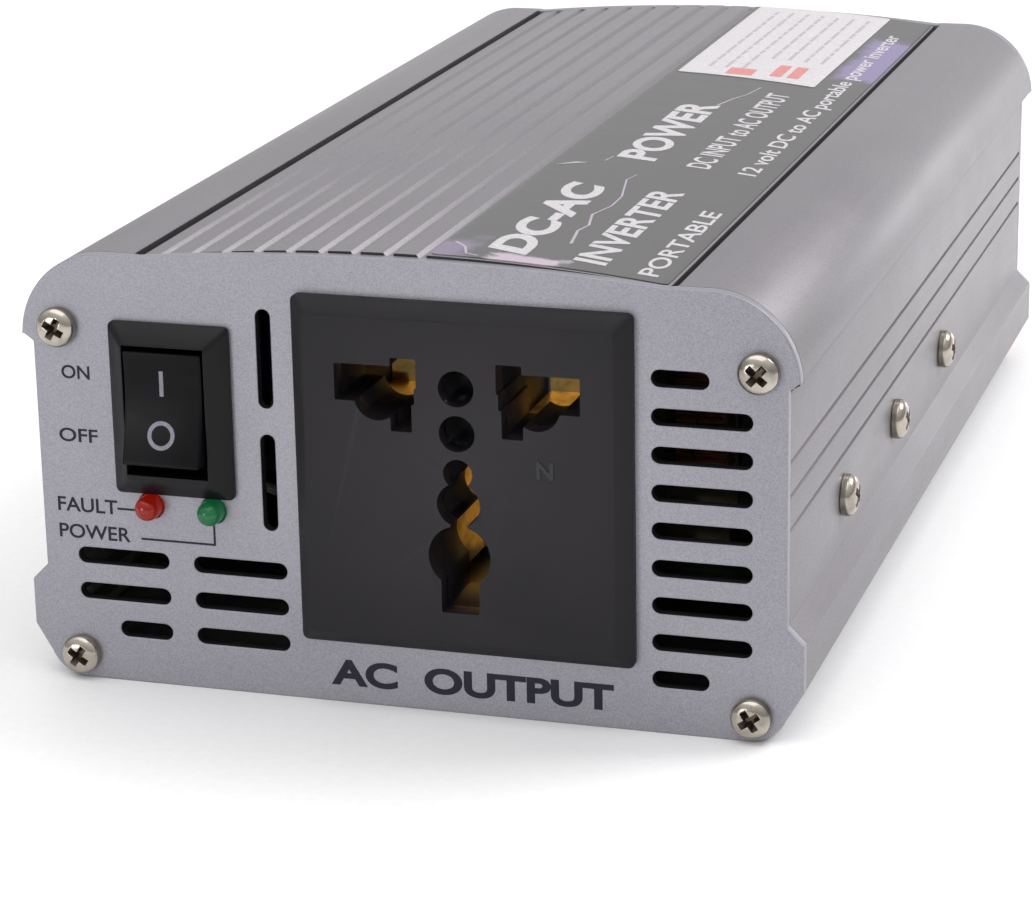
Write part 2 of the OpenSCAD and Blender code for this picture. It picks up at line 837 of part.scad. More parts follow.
module fan_nuts() {
    color([0.75, 0.74, 0.7]) at_front()
        for (i = [-1, 1], j = [-1, 1])
            translate([fan_x + i * fan_hole, fan_y, fan_z + j * fan_hole]) rotate([90, 0, 0])
                difference() {
                    cylinder(r = 3.18, h = 2.4, $fn = 6);
                    translate([0, 0, -1]) cylinder(r = fan_screw_r + gap, h = 5);
                }
}

// ---- DC terminals ----

module collar(x) {
    at_front() translate([x, 0, terminal_z]) difference() {
        union() {
            rod(collar_r, case_l, case_l + collar_l, 0, 0);
            rod(4.95, rear_y, case_l + 0.1, 0, 0);
        }
        rod(stud_r + gap, rear_y - 1, case_l + collar_l + 1, 0, 0);
    }
}

module positive_collar() {
    color([0.7, 0.08, 0.06]) collar(positive_x);
}

module negative_collar() {
    color([0.05, 0.05, 0.06]) collar(negative_x);
}

module inner_insulators() {
    color([0.85, 0.83, 0.75]) at_front()
        for (x = [positive_x, negative_x])
            translate([x, 0, terminal_z]) difference() {
                rod(8, inner_washer_y, rear_y, 0, 0);
                rod(stud_r + gap, inner_washer_y - 1, rear_y + 1, 0, 0);
            }
}

// Threaded bar with a plain, slightly thinner end beyond the knob.
module terminal_studs() {
    color([0.8, 0.65, 0.35]) at_front()
        for (x = [positive_x, negative_x]) {
            rod(stud_r, lock_nut_y - 2, knob_end_y, x, terminal_z);
            rod(stud_r - 0.4, knob_end_y - 0.1, stud_end_y, x, terminal_z);
        }
}

module terminal_nuts() {
    color([0.8, 0.78, 0.72]) at_front()
        for (x = [positive_x, negative_x], y = [inner_nut_y, lock_nut_y])
            translate([x, y + 5, terminal_z]) rotate([90, 0, 0]) difference() {
                cylinder(r = nut_r, h = 5, $fn = 6);
                translate([0, 0, -1]) cylinder(r = stud_r + gap, h = 7);
            }
}

module washer(x) {
    at_front() translate([x, 0, terminal_z]) difference() {
        rod(7, washer_y, knob_y, 0, 0);
        rod(stud_r + gap, washer_y - 1, knob_y + 1, 0, 0);
    }
}

module positive_washer() {
    color([0.8, 0.78, 0.72]) washer(positive_x);
}

module negative_washer() {
    color([0.8, 0.78, 0.72]) washer(negative_x);
}

// A knob with finger flutes, a smooth skirt and a threaded hole right through.
module knob(x) {
    at_front() translate([x, 0, terminal_z]) difference() {
        union() {
            rod(knob_r - 1.2, knob_y, knob_y + 2, 0, 0);
            rod(knob_r, knob_y + 2, knob_end_y, 0, 0);
        }
        for (i = [0 : 11])
            rotate([0, i * 30, 0]) rod(1.2, knob_y + 3.5, knob_end_y + 1, knob_r + 0.5, 0);
        rod(stud_r + gap, knob_y - 1, knob_end_y + 1, 0, 0);
    }
}

module positive_knob() {
    color([0.7, 0.08, 0.06]) knob(positive_x);
}

module negative_knob() {
    color([0.05, 0.05, 0.06]) knob(negative_x);
}

module dc_busbars() {
    color([0.78, 0.45, 0.3]) at_front()
        for (x = [positive_x, negative_x])
            difference() {
                union() {
                    block(x - 5, x + 5, bus_y, bus_y + 1.5, board_z, terminal_z + 6);
                    block(x - 5, x + 5, 136, bus_y + 1.5, board_z, board_z + 1.5);
                }
                rod(stud_r + gap, bus_y - 1, bus_y + 3, x, terminal_z);
            }
}

// ---- wires ----

module outlet_wires() {
    color([0.75, 0.1, 0.08]) at_front() {
        for (s = [-1, 1])
            wire([[outlet_x + s * 10, 28.1, 39], [outlet_x + s * 10, 31, 39], [outlet_x + s * 8, 33, 36],
                  [outlet_x + s * 4, 33.5, 14], [outlet_x + s * 4, 34, wire_foot_z]], 1);
    }
}

module switch_wires() {
    color([0.85, 0.7, 0.1]) at_front()
        for (dz = [-5, 0])
            wire([[switch_x, 22.1, pivot_z + dz], [switch_x, 25, pivot_z + dz],
                  [switch_x - 2 - dz, 28, pivot_z - 10], [switch_x - 2 - dz, 30, wire_foot_z]], 0.8);
}

module lamp_wires() {
    color([0.85, 0.85, 0.85]) at_front()
        for (x = [fault_x, power_x], dx = [-0.6, 0.6])
            wire([[x + dx, 9.1, lamp_z], [x + dx, 12, lamp_z], [x + 2 * dx, 26, 16],
                  [x + 2 * dx, 27.8 + abs(x + 28) / 9, wire_foot_z]], 0.4);
}

module fan_wires() {
    color([0.8, 0.1, 0.1]) at_front()
        for (dx = [0, 2])
            wire([[fan_x + dx, fan_y - 0.4, fan_z - 6], [fan_x + dx, fan_y - 3, fan_z - 8],
                  [fan_x + dx, 139, board_z + 3], [fan_x + dx, 138.6, wire_foot_z]], 0.5);
}

// ---- labels on the lid ----

// A thin sheet that follows the crown, from one radius to another above it.
module crown_sheet(x0, x1, y0, y1, low, high) {
    along_y(y0, y1) intersection() {
        difference() {
            translate([0, crown_z - crown_r]) circle(r = crown_r + high, $fn = 720);
            translate([0, crown_z - crown_r]) circle(r = crown_r + low, $fn = 720);
        }
        translate([x0, 40]) square([x1 - x0, 20]);
    }
}

module top_label() {
    color([0.3, 0.3, 0.31]) at_front() crown_sheet(3.5, 31.3, plate_t + 0.5, rear_y - 0.5, 0.02, 0.14);
}

module info_sticker() {
    color([0.85, 0.84, 0.87]) at_front() crown_sheet(3.8, 25, 114.5, rear_y - 1, 0.16, 0.24);
}

// ---- assembly ----

base_extrusion();
top_extrusion();
front_plate();
rear_plate();
front_plate_screws();
rear_plate_screws();
side_screws();
clamp_bars();
insulating_pads();
power_transistors();
switch_housing();
switch_rocker();
switch_plunger();
switch_seesaw();
switch_terminals();
outlet_face();
outlet_back_cover();
outlet_screws();
live_contact();
neutral_contact();
earth_contact();
fault_lamp();
power_lamp();
main_board();
transformer_cores();
transformer_bobbins();
transformer_windings();
input_capacitors();
high_voltage_capacitor();
choke_core();
choke_winding();
control_board();
control_chips();
buzzer();
blade_fuses();
fan_frame();
fan_stator();
fan_rotor();
fan_screws();
fan_nuts();
positive_collar();
negative_collar();
inner_insulators();
terminal_studs();
terminal_nuts();
positive_washer();
negative_washer();
positive_knob();
negative_knob();
dc_busbars();
outlet_wires();
switch_wires();
lamp_wires();
fan_wires();
top_label();
info_sticker();
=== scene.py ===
"""Looks of the power inverter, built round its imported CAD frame.

Shapes are drawn in millimetres in the panel's own coordinates: x across, y back from the front
plate's outer face, z up. to_frame() takes them to metres in the object's frame.
"""
import json
import math
import random

import bmesh
import bpy
from mathutils import Matrix, Vector


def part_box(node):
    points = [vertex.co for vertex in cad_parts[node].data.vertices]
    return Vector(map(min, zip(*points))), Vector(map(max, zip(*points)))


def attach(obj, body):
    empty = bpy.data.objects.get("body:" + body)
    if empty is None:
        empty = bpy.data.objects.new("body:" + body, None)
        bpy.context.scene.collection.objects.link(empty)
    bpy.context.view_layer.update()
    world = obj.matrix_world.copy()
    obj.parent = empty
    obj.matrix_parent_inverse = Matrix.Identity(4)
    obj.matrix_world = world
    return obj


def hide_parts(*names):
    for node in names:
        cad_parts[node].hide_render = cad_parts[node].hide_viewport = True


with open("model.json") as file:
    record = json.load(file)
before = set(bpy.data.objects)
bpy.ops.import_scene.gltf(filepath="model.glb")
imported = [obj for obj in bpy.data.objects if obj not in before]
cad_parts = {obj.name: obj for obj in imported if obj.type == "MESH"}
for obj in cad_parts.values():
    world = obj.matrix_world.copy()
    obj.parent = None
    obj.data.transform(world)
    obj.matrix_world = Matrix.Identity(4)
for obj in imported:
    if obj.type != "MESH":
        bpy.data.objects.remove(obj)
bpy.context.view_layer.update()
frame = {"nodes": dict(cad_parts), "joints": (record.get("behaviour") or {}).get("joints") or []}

# ---- sizes taken from the frame, in millimetres ----

FRONT_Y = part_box("front_plate")[0].y * 1000


def low(node):
    """The lowest corner of a CAD node in panel coordinates."""
    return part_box(node)[0] * 1000 - Vector((0, FRONT_Y, 0))


def high(node):
    """The highest corner of a CAD node in panel coordinates."""
    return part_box(node)[1] * 1000 - Vector((0, FRONT_Y, 0))


def middle(node):
    return (low(node) + high(node)) / 2


def joint(name):
    return next(j for j in frame["joints"] if j["name"] == name)


def joint_place(name):
    """A hinge's point in panel coordinates."""
    return Vector(joint(name)["pos_m"]) * 1000 - Vector((0, FRONT_Y, 0))


HALF_W = high("base_extrusion").x
SIDE_X = HALF_W - 2
WALL_T = 2.2
WALL_X = SIDE_X - WALL_T
SEAM_Z = high("base_extrusion").z
PLATE_T = high("front_plate").y
REAR_Y = low("rear_plate").y
CASE_L = high("rear_plate").y
CROWN_Z = high("top_extrusion").z
CROWN_HALF = 31.75
CROWN_RISE = 2.1
CROWN_R = (CROWN_HALF ** 2 + CROWN_RISE ** 2) / (2 * CROWN_RISE)
SHOULDER = (HALF_W - 11.1, 42.5, 10.5)
LID_EDGE_X = 32.65
STEP_Z = 52.1
CORNERS = [(x * (HALF_W - inset), z) for inset, z in ((5.3, 44), (6, 3.1)) for x in (1, -1)]


def crown(x):
    """Height of the lid's crown at x."""
    return CROWN_Z - CROWN_R + math.sqrt(CROWN_R ** 2 - x * x)


def to_frame():
    return Matrix.Translation((0, FRONT_Y / 1000, 0)) @ Matrix.Scale(0.001, 4)


# ---- drawing helpers: lists of points ----

def arc(cx, cz, r, a0, a1, n):
    """Points on an arc, both ends included, angles in degrees."""
    turns = [math.radians(a0 + (a1 - a0) * i / n) for i in range(n + 1)]
    return [(cx + r * math.cos(a), cz + r * math.sin(a)) for a in turns]


def circle(cx, cz, r, n=48):
    return arc(cx, cz, r, 0, 360 - 360 / n, n - 1)


def mirrored(points):
    return [(-x, z) for x, z in reversed(points)]


def rectangle(cx, cz, w, h, r=0.0):
    x, z = w / 2, h / 2
    corners = [(cx + x, cz - z), (cx + x, cz + z), (cx - x, cz + z), (cx - x, cz - z)]
    return rounded(corners, r, 5) if r else corners


def wide_slot(x0, x1, z, w):
    r = w / 2
    return arc(x1 - r, z, r, -90, 90, 12) + arc(x0 + r, z, r, 90, 270, 12)


def tall_slot(x, z0, z1, w):
    r = w / 2
    return arc(x, z1 - r, r, 0, 180, 12) + arc(x, z0 + r, r, 180, 360, 12)


def rounded(points, radius, steps=3):
    """A closed outline with its sharp corners rounded. Corners under 25 degrees are left."""
    out = []
    count = len(points)
    for i, here in enumerate(points):
        before, after = Vector(points[i - 1]), Vector(points[(i + 1) % count])
        p = Vector(here)
        to_a, to_b = before - p, after - p
        if to_a.length < 1e-6 or to_b.length < 1e-6:
            continue
        bend = math.pi - to_a.angle(to_b)
        if bend < math.radians(25):
            out.append(tuple(p))
            continue
        cut = min(radius * math.tan(bend / 2), to_a.length * 0.45, to_b.length * 0.45)
        a, b = p + to_a.normalized() * cut, p + to_b.normalized() * cut
        for k in range(steps + 1):
            t = k / steps
            out.append(tuple(a * (1 - t) ** 2 + p * 2 * t * (1 - t) + b * t * t))
    return out


# ---- mesh helpers ----

def new_object(name, mesh):
    obj = bpy.data.objects.new(name, mesh)
    bpy.context.scene.collection.objects.link(obj)
    return obj


def baked(obj):
    """The object with its modifiers, or its curve, turned into a plain mesh."""
    bpy.context.view_layer.update()
    graph = bpy.context.evaluated_depsgraph_get()
    mesh = bpy.data.meshes.new_from_object(obj.evaluated_get(graph))
    name = obj.name
    bpy.data.objects.remove(obj)
    return new_object(name, mesh)


def sheet_shape(name, outlines, depth, bevel=0.0, bevel_steps=2):
    """A flat drawing with holes as a solid: drawn in local x and y, centred on z, edges bevelled."""
    curve = bpy.data.curves.new(name, "CURVE")
    curve.dimensions = "2D"
    curve.fill_mode = "BOTH"
    curve.extrude = depth / 2 - bevel
    curve.bevel_depth = bevel
    curve.bevel_resolution = bevel_steps
    curve.offset = -bevel
    for outline in outlines:
        spline = curve.splines.new("POLY")
        spline.points.add(len(outline) - 1)
        for point, (x, z) in zip(spline.points, outline):
            point.co = (x, z, 0, 1)
        spline.use_cyclic_u = True
    obj = baked(new_object(name, curve))
    weld(obj.data, 1e-4)
    return obj


def weld(mesh, distance):
    bm = bmesh.new()
    bm.from_mesh(mesh)
    bmesh.ops.remove_doubles(bm, verts=bm.verts, dist=distance)
    bmesh.ops.recalc_face_normals(bm, faces=bm.faces)
    bm.to_mesh(mesh)
    bm.free()


def upright(obj, y0, y1):
    """Stands a flat drawing up in X and Z, between y0 and y1."""
    obj.data.transform(Matrix.Translation((0, (y0 + y1) / 2, 0)) @ Matrix.Rotation(math.pi / 2, 4, "X"))
    return obj


def panel_shape(name, outlines, y0, y1, bevel=0.0, bevel_steps=2):
    return upright(sheet_shape(name, outlines, y1 - y0, bevel, bevel_steps), y0, y1)


def mesh_object(name, verts, faces):
    mesh = bpy.data.meshes.new(name)
    mesh.from_pydata([tuple(v) for v in verts], [], faces)
    mesh.update()
    return new_object(name, mesh)


def solid(name, verts, faces, distance=1e-6):
    """A mesh object whose close points are merged and whose faces all look outwards."""
    obj = mesh_object(name, verts, faces)
    weld(obj.data, distance)
    return obj


def lathe(name, profile, steps=64):
    """Turns a profile of (radius, y) about the Y axis. A radius of 0 closes the end."""
    verts, rings = [], []
    for r, y in profile:
        if r < 1e-6:
            rings.append([len(verts)])
            verts.append((0, y, 0))
            continue
        rings.append(list(range(len(verts), len(verts) + steps)))
        for k in range(steps):
            a = 2 * math.pi * k / steps
            verts.append((r * math.cos(a), y, r * math.sin(a)))
    faces = []
    for a, b in zip(rings, rings[1:]):
        for k in range(steps):
            j = (k + 1) % steps
            if len(a) == 1 and len(b) > 1:
                faces.append((a[0], b[k], b[j]))
            elif len(b) == 1 and len(a) > 1:
                faces.append((a[k], b[0], a[j]))
            elif len(a) > 1:
                faces.append((a[k], b[k], b[j], a[j]))
    return solid(name, verts, faces)


def ring(name, profile, steps=64):
    """Like lathe, for a closed profile that doesn't reach the axis."""
    return lathe(name, list(profile) + [profile[0]], steps)


def box_mesh(name, x0, x1, y0, y1, z0, z1):
    corners = [(x, y, z) for x in (x0, x1) for y in (y0, y1) for z in (z0, z1)]
    faces = [(0, 1, 3, 2), (4, 6, 7, 5), (0, 4, 5, 1), (2, 3, 7, 6), (0, 2, 6, 4), (1, 5, 7, 3)]
    return solid(name, corners, faces)


def cut(obj, *cutters):
    """Takes the cutters out of the object."""
    for cutter in cutters:
        mod = obj.modifiers.new("cut", "BOOLEAN")
        mod.operation = "DIFFERENCE"
        mod.solver = "EXACT"
        mod.material_mode = "TRANSFER"
        mod.object = cutter
    obj = baked(obj)
    for cutter in cutters:
        bpy.data.objects.remove(cutter)
    return obj


def soften(obj, width, steps=2, angle=35):
    """Rounds the sharp edges by a small width."""
    mod = obj.modifiers.new("edges", "BEVEL")
    mod.width = width
    mod.segments = steps
    mod.limit_method = "ANGLE"
    mod.angle_limit = math.radians(angle)
    mod.use_clamp_overlap = True
    return baked(obj)


def merged(name, parts):
    """One mesh made of several pairs of a mesh and its matrix."""
    bm = bmesh.new()
    for source, matrix in parts:
        mesh = source.copy()
        mesh.transform(matrix)
        bm.from_mesh(mesh)
        bpy.data.meshes.remove(mesh)
    mesh = bpy.data.meshes.new(name)
    bm.to_mesh(mesh)
    bm.free()
    return mesh


def joined(name, objects):
    """Joins several meshes in panel coordinates into one object."""
    mesh = merged(name, [(obj.data, obj.matrix_world) for obj in objects])
    for obj in objects:
        bpy.data.objects.remove(obj)
    return new_object(name, mesh)


def copies(name, obj, matrices):
    """One object made of the mesh repeated at each matrix."""
    mesh = merged(name, [(obj.data, matrix) for matrix in matrices])
    for material in obj.data.materials:
        mesh.materials.append(material)
    bpy.data.objects.remove(obj)
    return new_object(name, mesh)


def moved(obj, matrix):
    obj.data.transform(matrix)
    return obj


def shift(x, y, z):
    return Matrix.Translation((x, y, z))


def turn(degrees, axis):
    return Matrix.Rotation(math.radians(degrees), 4, axis)


def smooth(obj, angle=32):
    """Smooth shading, with edges sharp past the angle and all round the faces that look along Y."""
    obj.data.shade_smooth()
    obj.data.set_sharp_from_angle(angle=math.radians(angle))
    bm = bmesh.new()
    bm.from_mesh(obj.data)
    for edge in bm.edges:
        flat = [abs(face.normal.y) > 0.9998 for face in edge.link_faces]
        if len(flat) == 2 and flat[0] != flat[1]:
            edge.smooth = False
    bm.to_mesh(obj.data)
    bm.free()


def finish(obj, material, body="case", nodes=(), angle=32):
    """With no material, the piece keeps those it has.
    """
    obj.data.transform(to_frame())
    smooth(obj, angle)
    if material:
        obj.data.materials.clear()
        obj.data.materials.append(material)
    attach(obj, body)
    if nodes:
        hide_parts(*nodes)
    return obj


# ---- materials ----

class Nodes:
    """A small helper that builds one material's node tree."""

    def __init__(self, name):
        self.material = bpy.data.materials.new(name)
        self.material.use_nodes = True
        self.tree = self.material.node_tree
        self.shader = self.tree.nodes["Principled BSDF"]
        self.place = self.add("ShaderNodeTexCoord").outputs["Object"]

    def add(self, kind, **settings):
        node = self.tree.nodes.new(kind)
        for key, value in settings.items():
            setattr(node, key, value)
        return node

    def link(self, source, target):
        self.tree.links.new(source, target)

    def fill(self, node, **sockets):
        """Sets a node's own sockets; the names use _ for a space."""
        for key, value in sockets.items():
            node.inputs[key.replace("_", " ")].default_value = value

    def set(self, **sockets):
        self.fill(self.shader, **sockets)

    def noise(self, size_mm, detail=3.0, rough=0.55, stretch=None):
        """Noise whose blobs are about size_mm across."""
        node = self.add("ShaderNodeTexNoise")
        self.fill(node, Scale=1000 / size_mm, Detail=detail, Roughness=rough)
        source = self.place
        if stretch:
            mapping = self.add("ShaderNodeMapping")
            mapping.inputs["Scale"].default_value = stretch
            self.link(self.place, mapping.inputs["Vector"])
            source = mapping.outputs["Vector"]
        self.link(source, node.inputs["Vector"])
        return node.outputs["Fac"]

    def ramp(self, fac, stops):
        """A colour ramp; stops are (position, colour)."""
        node = self.add("ShaderNodeValToRGB")
        elements = node.color_ramp.elements
        while len(elements) < len(stops):
            elements.new(0.5)
        for element, (position, color) in zip(elements, stops):
            element.position = position
            element.color = (*color, 1) if len(color) == 3 else color
        self.link(fac, node.inputs["Fac"])
        return node.outputs["Color"]

    def scale(self, fac, low_value, high_value, from_low=0.3, from_high=0.7):
        node = self.add("ShaderNodeMapRange")
        self.fill(node, From_Min=from_low, From_Max=from_high, To_Min=low_value, To_Max=high_value)
        self.link(fac, node.inputs["Value"])
        return node.outputs["Result"]

    def mix(self, fac, a, b, blend="MIX"):
        node = self.add("ShaderNodeMix", data_type="RGBA", blend_type=blend)
        for value, socket in ((fac, node.inputs["Factor"]), (a, node.inputs["A"]), (b, node.inputs["B"])):
            if isinstance(value, bpy.types.NodeSocket):
                self.link(value, socket)
            elif isinstance(value, (int, float)):
                socket.default_value = value
            else:
                socket.default_value = (*value, 1)
        return node.outputs["Result"]

    def math(self, operation, a, b=0.0):
        node = self.add("ShaderNodeMath", operation=operation)
        for value, socket in zip((a, b), node.inputs):
            if isinstance(value, bpy.types.NodeSocket):
                self.link(value, socket)
            else:
                socket.default_value = value
        return node.outputs["Value"]

    def bump(self, height, depth_mm, strength=1.0, below=None):
        node = self.add("ShaderNodeBump")
        self.fill(node, Strength=strength, Distance=depth_mm / 1000)
        self.link(height, node.inputs["Height"])
        if below:
            self.link(below, node.inputs["Normal"])
        return node.outputs["Normal"]

    def color(self, source):
        self.link(source, self.shader.inputs["Base Color"])

    def roughness(self, source):
        self.link(source, self.shader.inputs["Roughness"])

    def normal(self, source):
        self.link(source, self.shader.inputs["Normal"])


def shade(color, factor):
    return tuple(min(1.0, c * factor) for c in color[:3])


def metallic_paint(name, color, grain=0.16):
    """Sand-blasted, clear-anodised aluminium: fine bright grain with faint cloudy patches."""
    n = Nodes(name)
    n.set(Metallic=0.55, IOR=1.5)
    speck = n.noise(grain, 2.0, 0.6)
    cloud = n.noise(9.0, 3.0, 0.6)
    base = n.ramp(speck, [(0.3, shade(color, 0.80)), (0.5, color), (0.72, shade(color, 1.22))])
    tint = n.ramp(cloud, [(0.3, (0.94, 0.94, 0.98)), (0.7, (1.0, 0.99, 1.0))])
    n.color(n.mix(1.0, base, tint, "MULTIPLY"))
    n.roughness(n.math("ADD", n.scale(speck, 0.34, 0.50), n.scale(cloud, -0.04, 0.04)))
    n.normal(n.bump(speck, 0.010, 0.55))
    return n.material


def extruded_paint(name, color):
    """The same finish over an extrusion, with faint die lines along Y."""
    n = Nodes(name)
    n.set(Metallic=0.55, IOR=1.5)
    speck = n.noise(0.2, 2.0, 0.6)
    lines = n.noise(1.6, 3.0, 0.6, stretch=(1.0, 0.02, 1.0))
    cloud = n.noise(14.0, 3.0, 0.55)
    base = n.ramp(speck, [(0.3, shade(color, 0.84)), (0.5, color), (0.72, shade(color, 1.16))])
    streak = n.ramp(lines, [(0.3, (0.975, 0.975, 0.98)), (0.7, (1.01, 1.01, 1.01))])
    tint = n.ramp(cloud, [(0.3, (0.95, 0.94, 0.97)), (0.7, (1.0, 1.0, 1.0))])
    n.color(n.mix(1.0, n.mix(1.0, base, streak, "MULTIPLY"), tint, "MULTIPLY"))
    n.roughness(n.math("ADD", n.scale(lines, 0.38, 0.42), n.scale(cloud, -0.03, 0.04)))
    n.normal(n.bump(lines, 0.003, 0.4, below=n.bump(speck, 0.007, 0.5)))
    return n.material


def moulded(name, color, rough=0.45, grain=0.25, depth=0.012, coat=0.0, wear=0.3, gloss=0.5):
    """Moulded plastic: fine spark-eroded grain, handling sheen and a little colour change."""
    n = Nodes(name)
    n.set(IOR=1.48, Coat_Weight=coat, Coat_Roughness=0.12, Specular_IOR_Level=gloss)
    speck = n.noise(grain, 2.5, 0.6)
    patch = n.noise(7.0, 4.0, 0.6)
    scuff = n.noise(2.2, 5.0, 0.7, stretch=(1.0, 0.35, 1.0))
    base = n.ramp(patch, [(0.3, shade(color, 0.86)), (0.7, shade(color, 1.16))])
    n.color(n.mix(n.scale(scuff, 0.0, wear, 0.58, 0.8), base, shade(color, 1.7)))
    n.roughness(n.math("ADD", n.scale(patch, rough - 0.06, rough + 0.06), n.scale(speck, -0.03, 0.03)))
    n.normal(n.bump(speck, depth, 0.6))
    return n.material


def plated(name, color, rough=0.2, metal=1.0):
    """Plated or rolled metal: faint scratches, tarnish patches and a soft bump."""
    n = Nodes(name)
    n.set(Metallic=metal)
    scratch = n.noise(0.5, 5.0, 0.7, stretch=(1.0, 0.2, 1.0))
    patch = n.noise(2.5, 4.0, 0.6)
    n.color(n.ramp(patch, [(0.28, shade(color, 0.55)), (0.5, color), (0.75, shade(color, 1.12))]))
    n.roughness(n.math("ADD", n.scale(patch, rough + 0.08, rough - 0.03), n.scale(scratch, -0.03, 0.07)))
    n.normal(n.bump(scratch, 0.006, 0.5))
    return n.material


def lens(name, color, glow, strength):
    """Tinted epoxy lamp lens, glowing a little from within."""
    n = Nodes(name)
    n.set(IOR=1.5, Coat_Roughness=0.04, Roughness=0.1, Transmission_Weight=0.3, Specular_IOR_Level=0.35)
    cloud = n.noise(0.9, 2.0, 0.5)
    n.color(n.ramp(cloud, [(0.3, shade(color, 0.7)), (0.7, shade(color, 1.25))]))
    n.set(Emission_Color=(*glow, 1), Emission_Strength=strength)
    n.normal(n.bump(n.noise(0.6, 2.0), 0.01, 0.3))
    return n.material


def ink(name, color, rough=0.5, gloss=0.2):
    """Screen-printed ink with slightly uneven cover."""
    n = Nodes(name)
    n.set(Specular_IOR_Level=gloss)
    cover = n.noise(0.35, 3.0, 0.6)
    n.color(n.ramp(cover, [(0.3, shade(color, 0.85)), (0.7, shade(color, 1.25))]))
    n.roughness(n.scale(cover, rough - 0.06, rough + 0.06))
    n.normal(n.bump(cover, 0.003, 0.4))
    return n.material


def label_film(name):
    """Dark printed film: a pale glow along its near edge and a soft lilac patch at its far right."""
    n = Nodes(name)
    n.set(IOR=1.5, Coat_Weight=0.15, Coat_Roughness=0.22, Specular_IOR_Level=0.45)
    split = n.add("ShaderNodeSeparateXYZ")
    n.link(n.place, split.inputs["Vector"])
    x, y = split.outputs["X"], split.outputs["Y"]
    start = low("top_label").y + FRONT_Y
    x0 = low("top_label").x
    cloud = n.noise(5.0, 4.0, 0.6)
    blot = n.noise(2.2, 4.0, 0.6)
    grain = n.noise(0.22, 2.0, 0.6)

    def patch(x_low, x_high, y_low, y_high, soft, source, wobble):
        """0 within a rectangle given in millimetres from the film's near left corner, then up to 1."""
        across = n.math("ABSOLUTE", n.scale(x, -1, 1, (x0 + x_low) / 1000, (x0 + x_high) / 1000))
        along = n.math("ABSOLUTE", n.scale(y, -1, 1, (start + y_low) / 1000, (start + y_high) / 1000))
        outside = n.math("SUBTRACT", n.math("MAXIMUM", across, along), 1 - soft)
        outside = n.math("MULTIPLY", outside, (1 + wobble) / soft)
        return n.math("ADD", outside, n.scale(source, -wobble, wobble))

    base = n.ramp(cloud, [(0.3, (0.066, 0.063, 0.063)), (0.7, (0.084, 0.080, 0.080))])
    pale = n.ramp(patch(4.5, 17.5, -6, 4.5, 0.5, blot, 0.7), [(0.1, (0.34, 0.27, 0.33)), (0.9, (0, 0, 0))])
    lilac = n.ramp(patch(-8, 6, -10, 11, 0.6, cloud, 0.5), [(0.1, (0.10, 0.07, 0.14)), (0.9, (0, 0, 0))])
    dusk = n.ramp(patch(21, 34, 112, 150, 0.35, cloud, 0.4), [(0.1, (0.11, 0.08, 0.21)), (0.9, (0, 0, 0))])
    n.color(n.mix(1.0, n.mix(1.0, n.mix(1.0, base, pale, "ADD"), lilac, "ADD"), dusk, "ADD"))
    n.roughness(n.scale(cloud, 0.36, 0.44))
    n.normal(n.bump(grain, 0.004, 0.4, below=n.bump(cloud, 0.03, 0.35)))
    return n.material


def board_mask(name):
    """Solder mask with faint copper tracks under it."""
    n = Nodes(name)
    n.set(IOR=1.5, Coat_Weight=0.5, Coat_Roughness=0.2)
    tracks = n.add("ShaderNodeTexBrick")
    n.fill(tracks, Scale=110, Mortar_Size=0.06, Mortar=(0.035, 0.19, 0.07, 1))
    n.fill(tracks, Color1=(0.010, 0.085, 0.035, 1), Color2=(0.016, 0.115, 0.045, 1))
    n.link(n.place, tracks.inputs["Vector"])
    cloud = n.noise(4.0, 3.0)
    n.color(n.mix(n.scale(cloud, 0.1, 0.4), tracks.outputs["Color"], (0.012, 0.07, 0.03)))
    n.roughness(n.scale(cloud, 0.28, 0.4))
    n.normal(n.bump(tracks.outputs["Fac"], 0.03, 0.4))
    return n.material


def wound_wire(name, color, pitch=0.9):
    """Enamelled wire laid side by side."""
    n = Nodes(name)
    n.set(Metallic=0.9, Coat_Weight=0.6, Coat_Roughness=0.15)
    wave = n.add("ShaderNodeTexWave", wave_type="BANDS", bands_direction="Z")
    n.fill(wave, Scale=1000 / pitch / 6.283 * 2, Distortion=0.4)
    n.link(n.place, wave.inputs["Vector"])
    patch = n.noise(1.5, 3.0)
    n.color(n.mix(n.scale(patch, 0.0, 0.5), shade(color, 0.8), shade(color, 1.2)))
    n.roughness(n.scale(patch, 0.25, 0.4))
    n.normal(n.bump(wave.outputs["Fac"], 0.25, 0.8))
    return n.material


def floor_paper(name):
    """White sweep with a very faint tooth."""
    n = Nodes(name)
    tooth = n.noise(1.2, 3.0)
    n.color(n.ramp(tooth, [(0.3, (0.90, 0.90, 0.905)), (0.7, (0.93, 0.93, 0.935))]))
    n.roughness(n.scale(tooth, 0.42, 0.5))
    n.normal(n.bump(tooth, 0.01, 0.2))
    return n.material


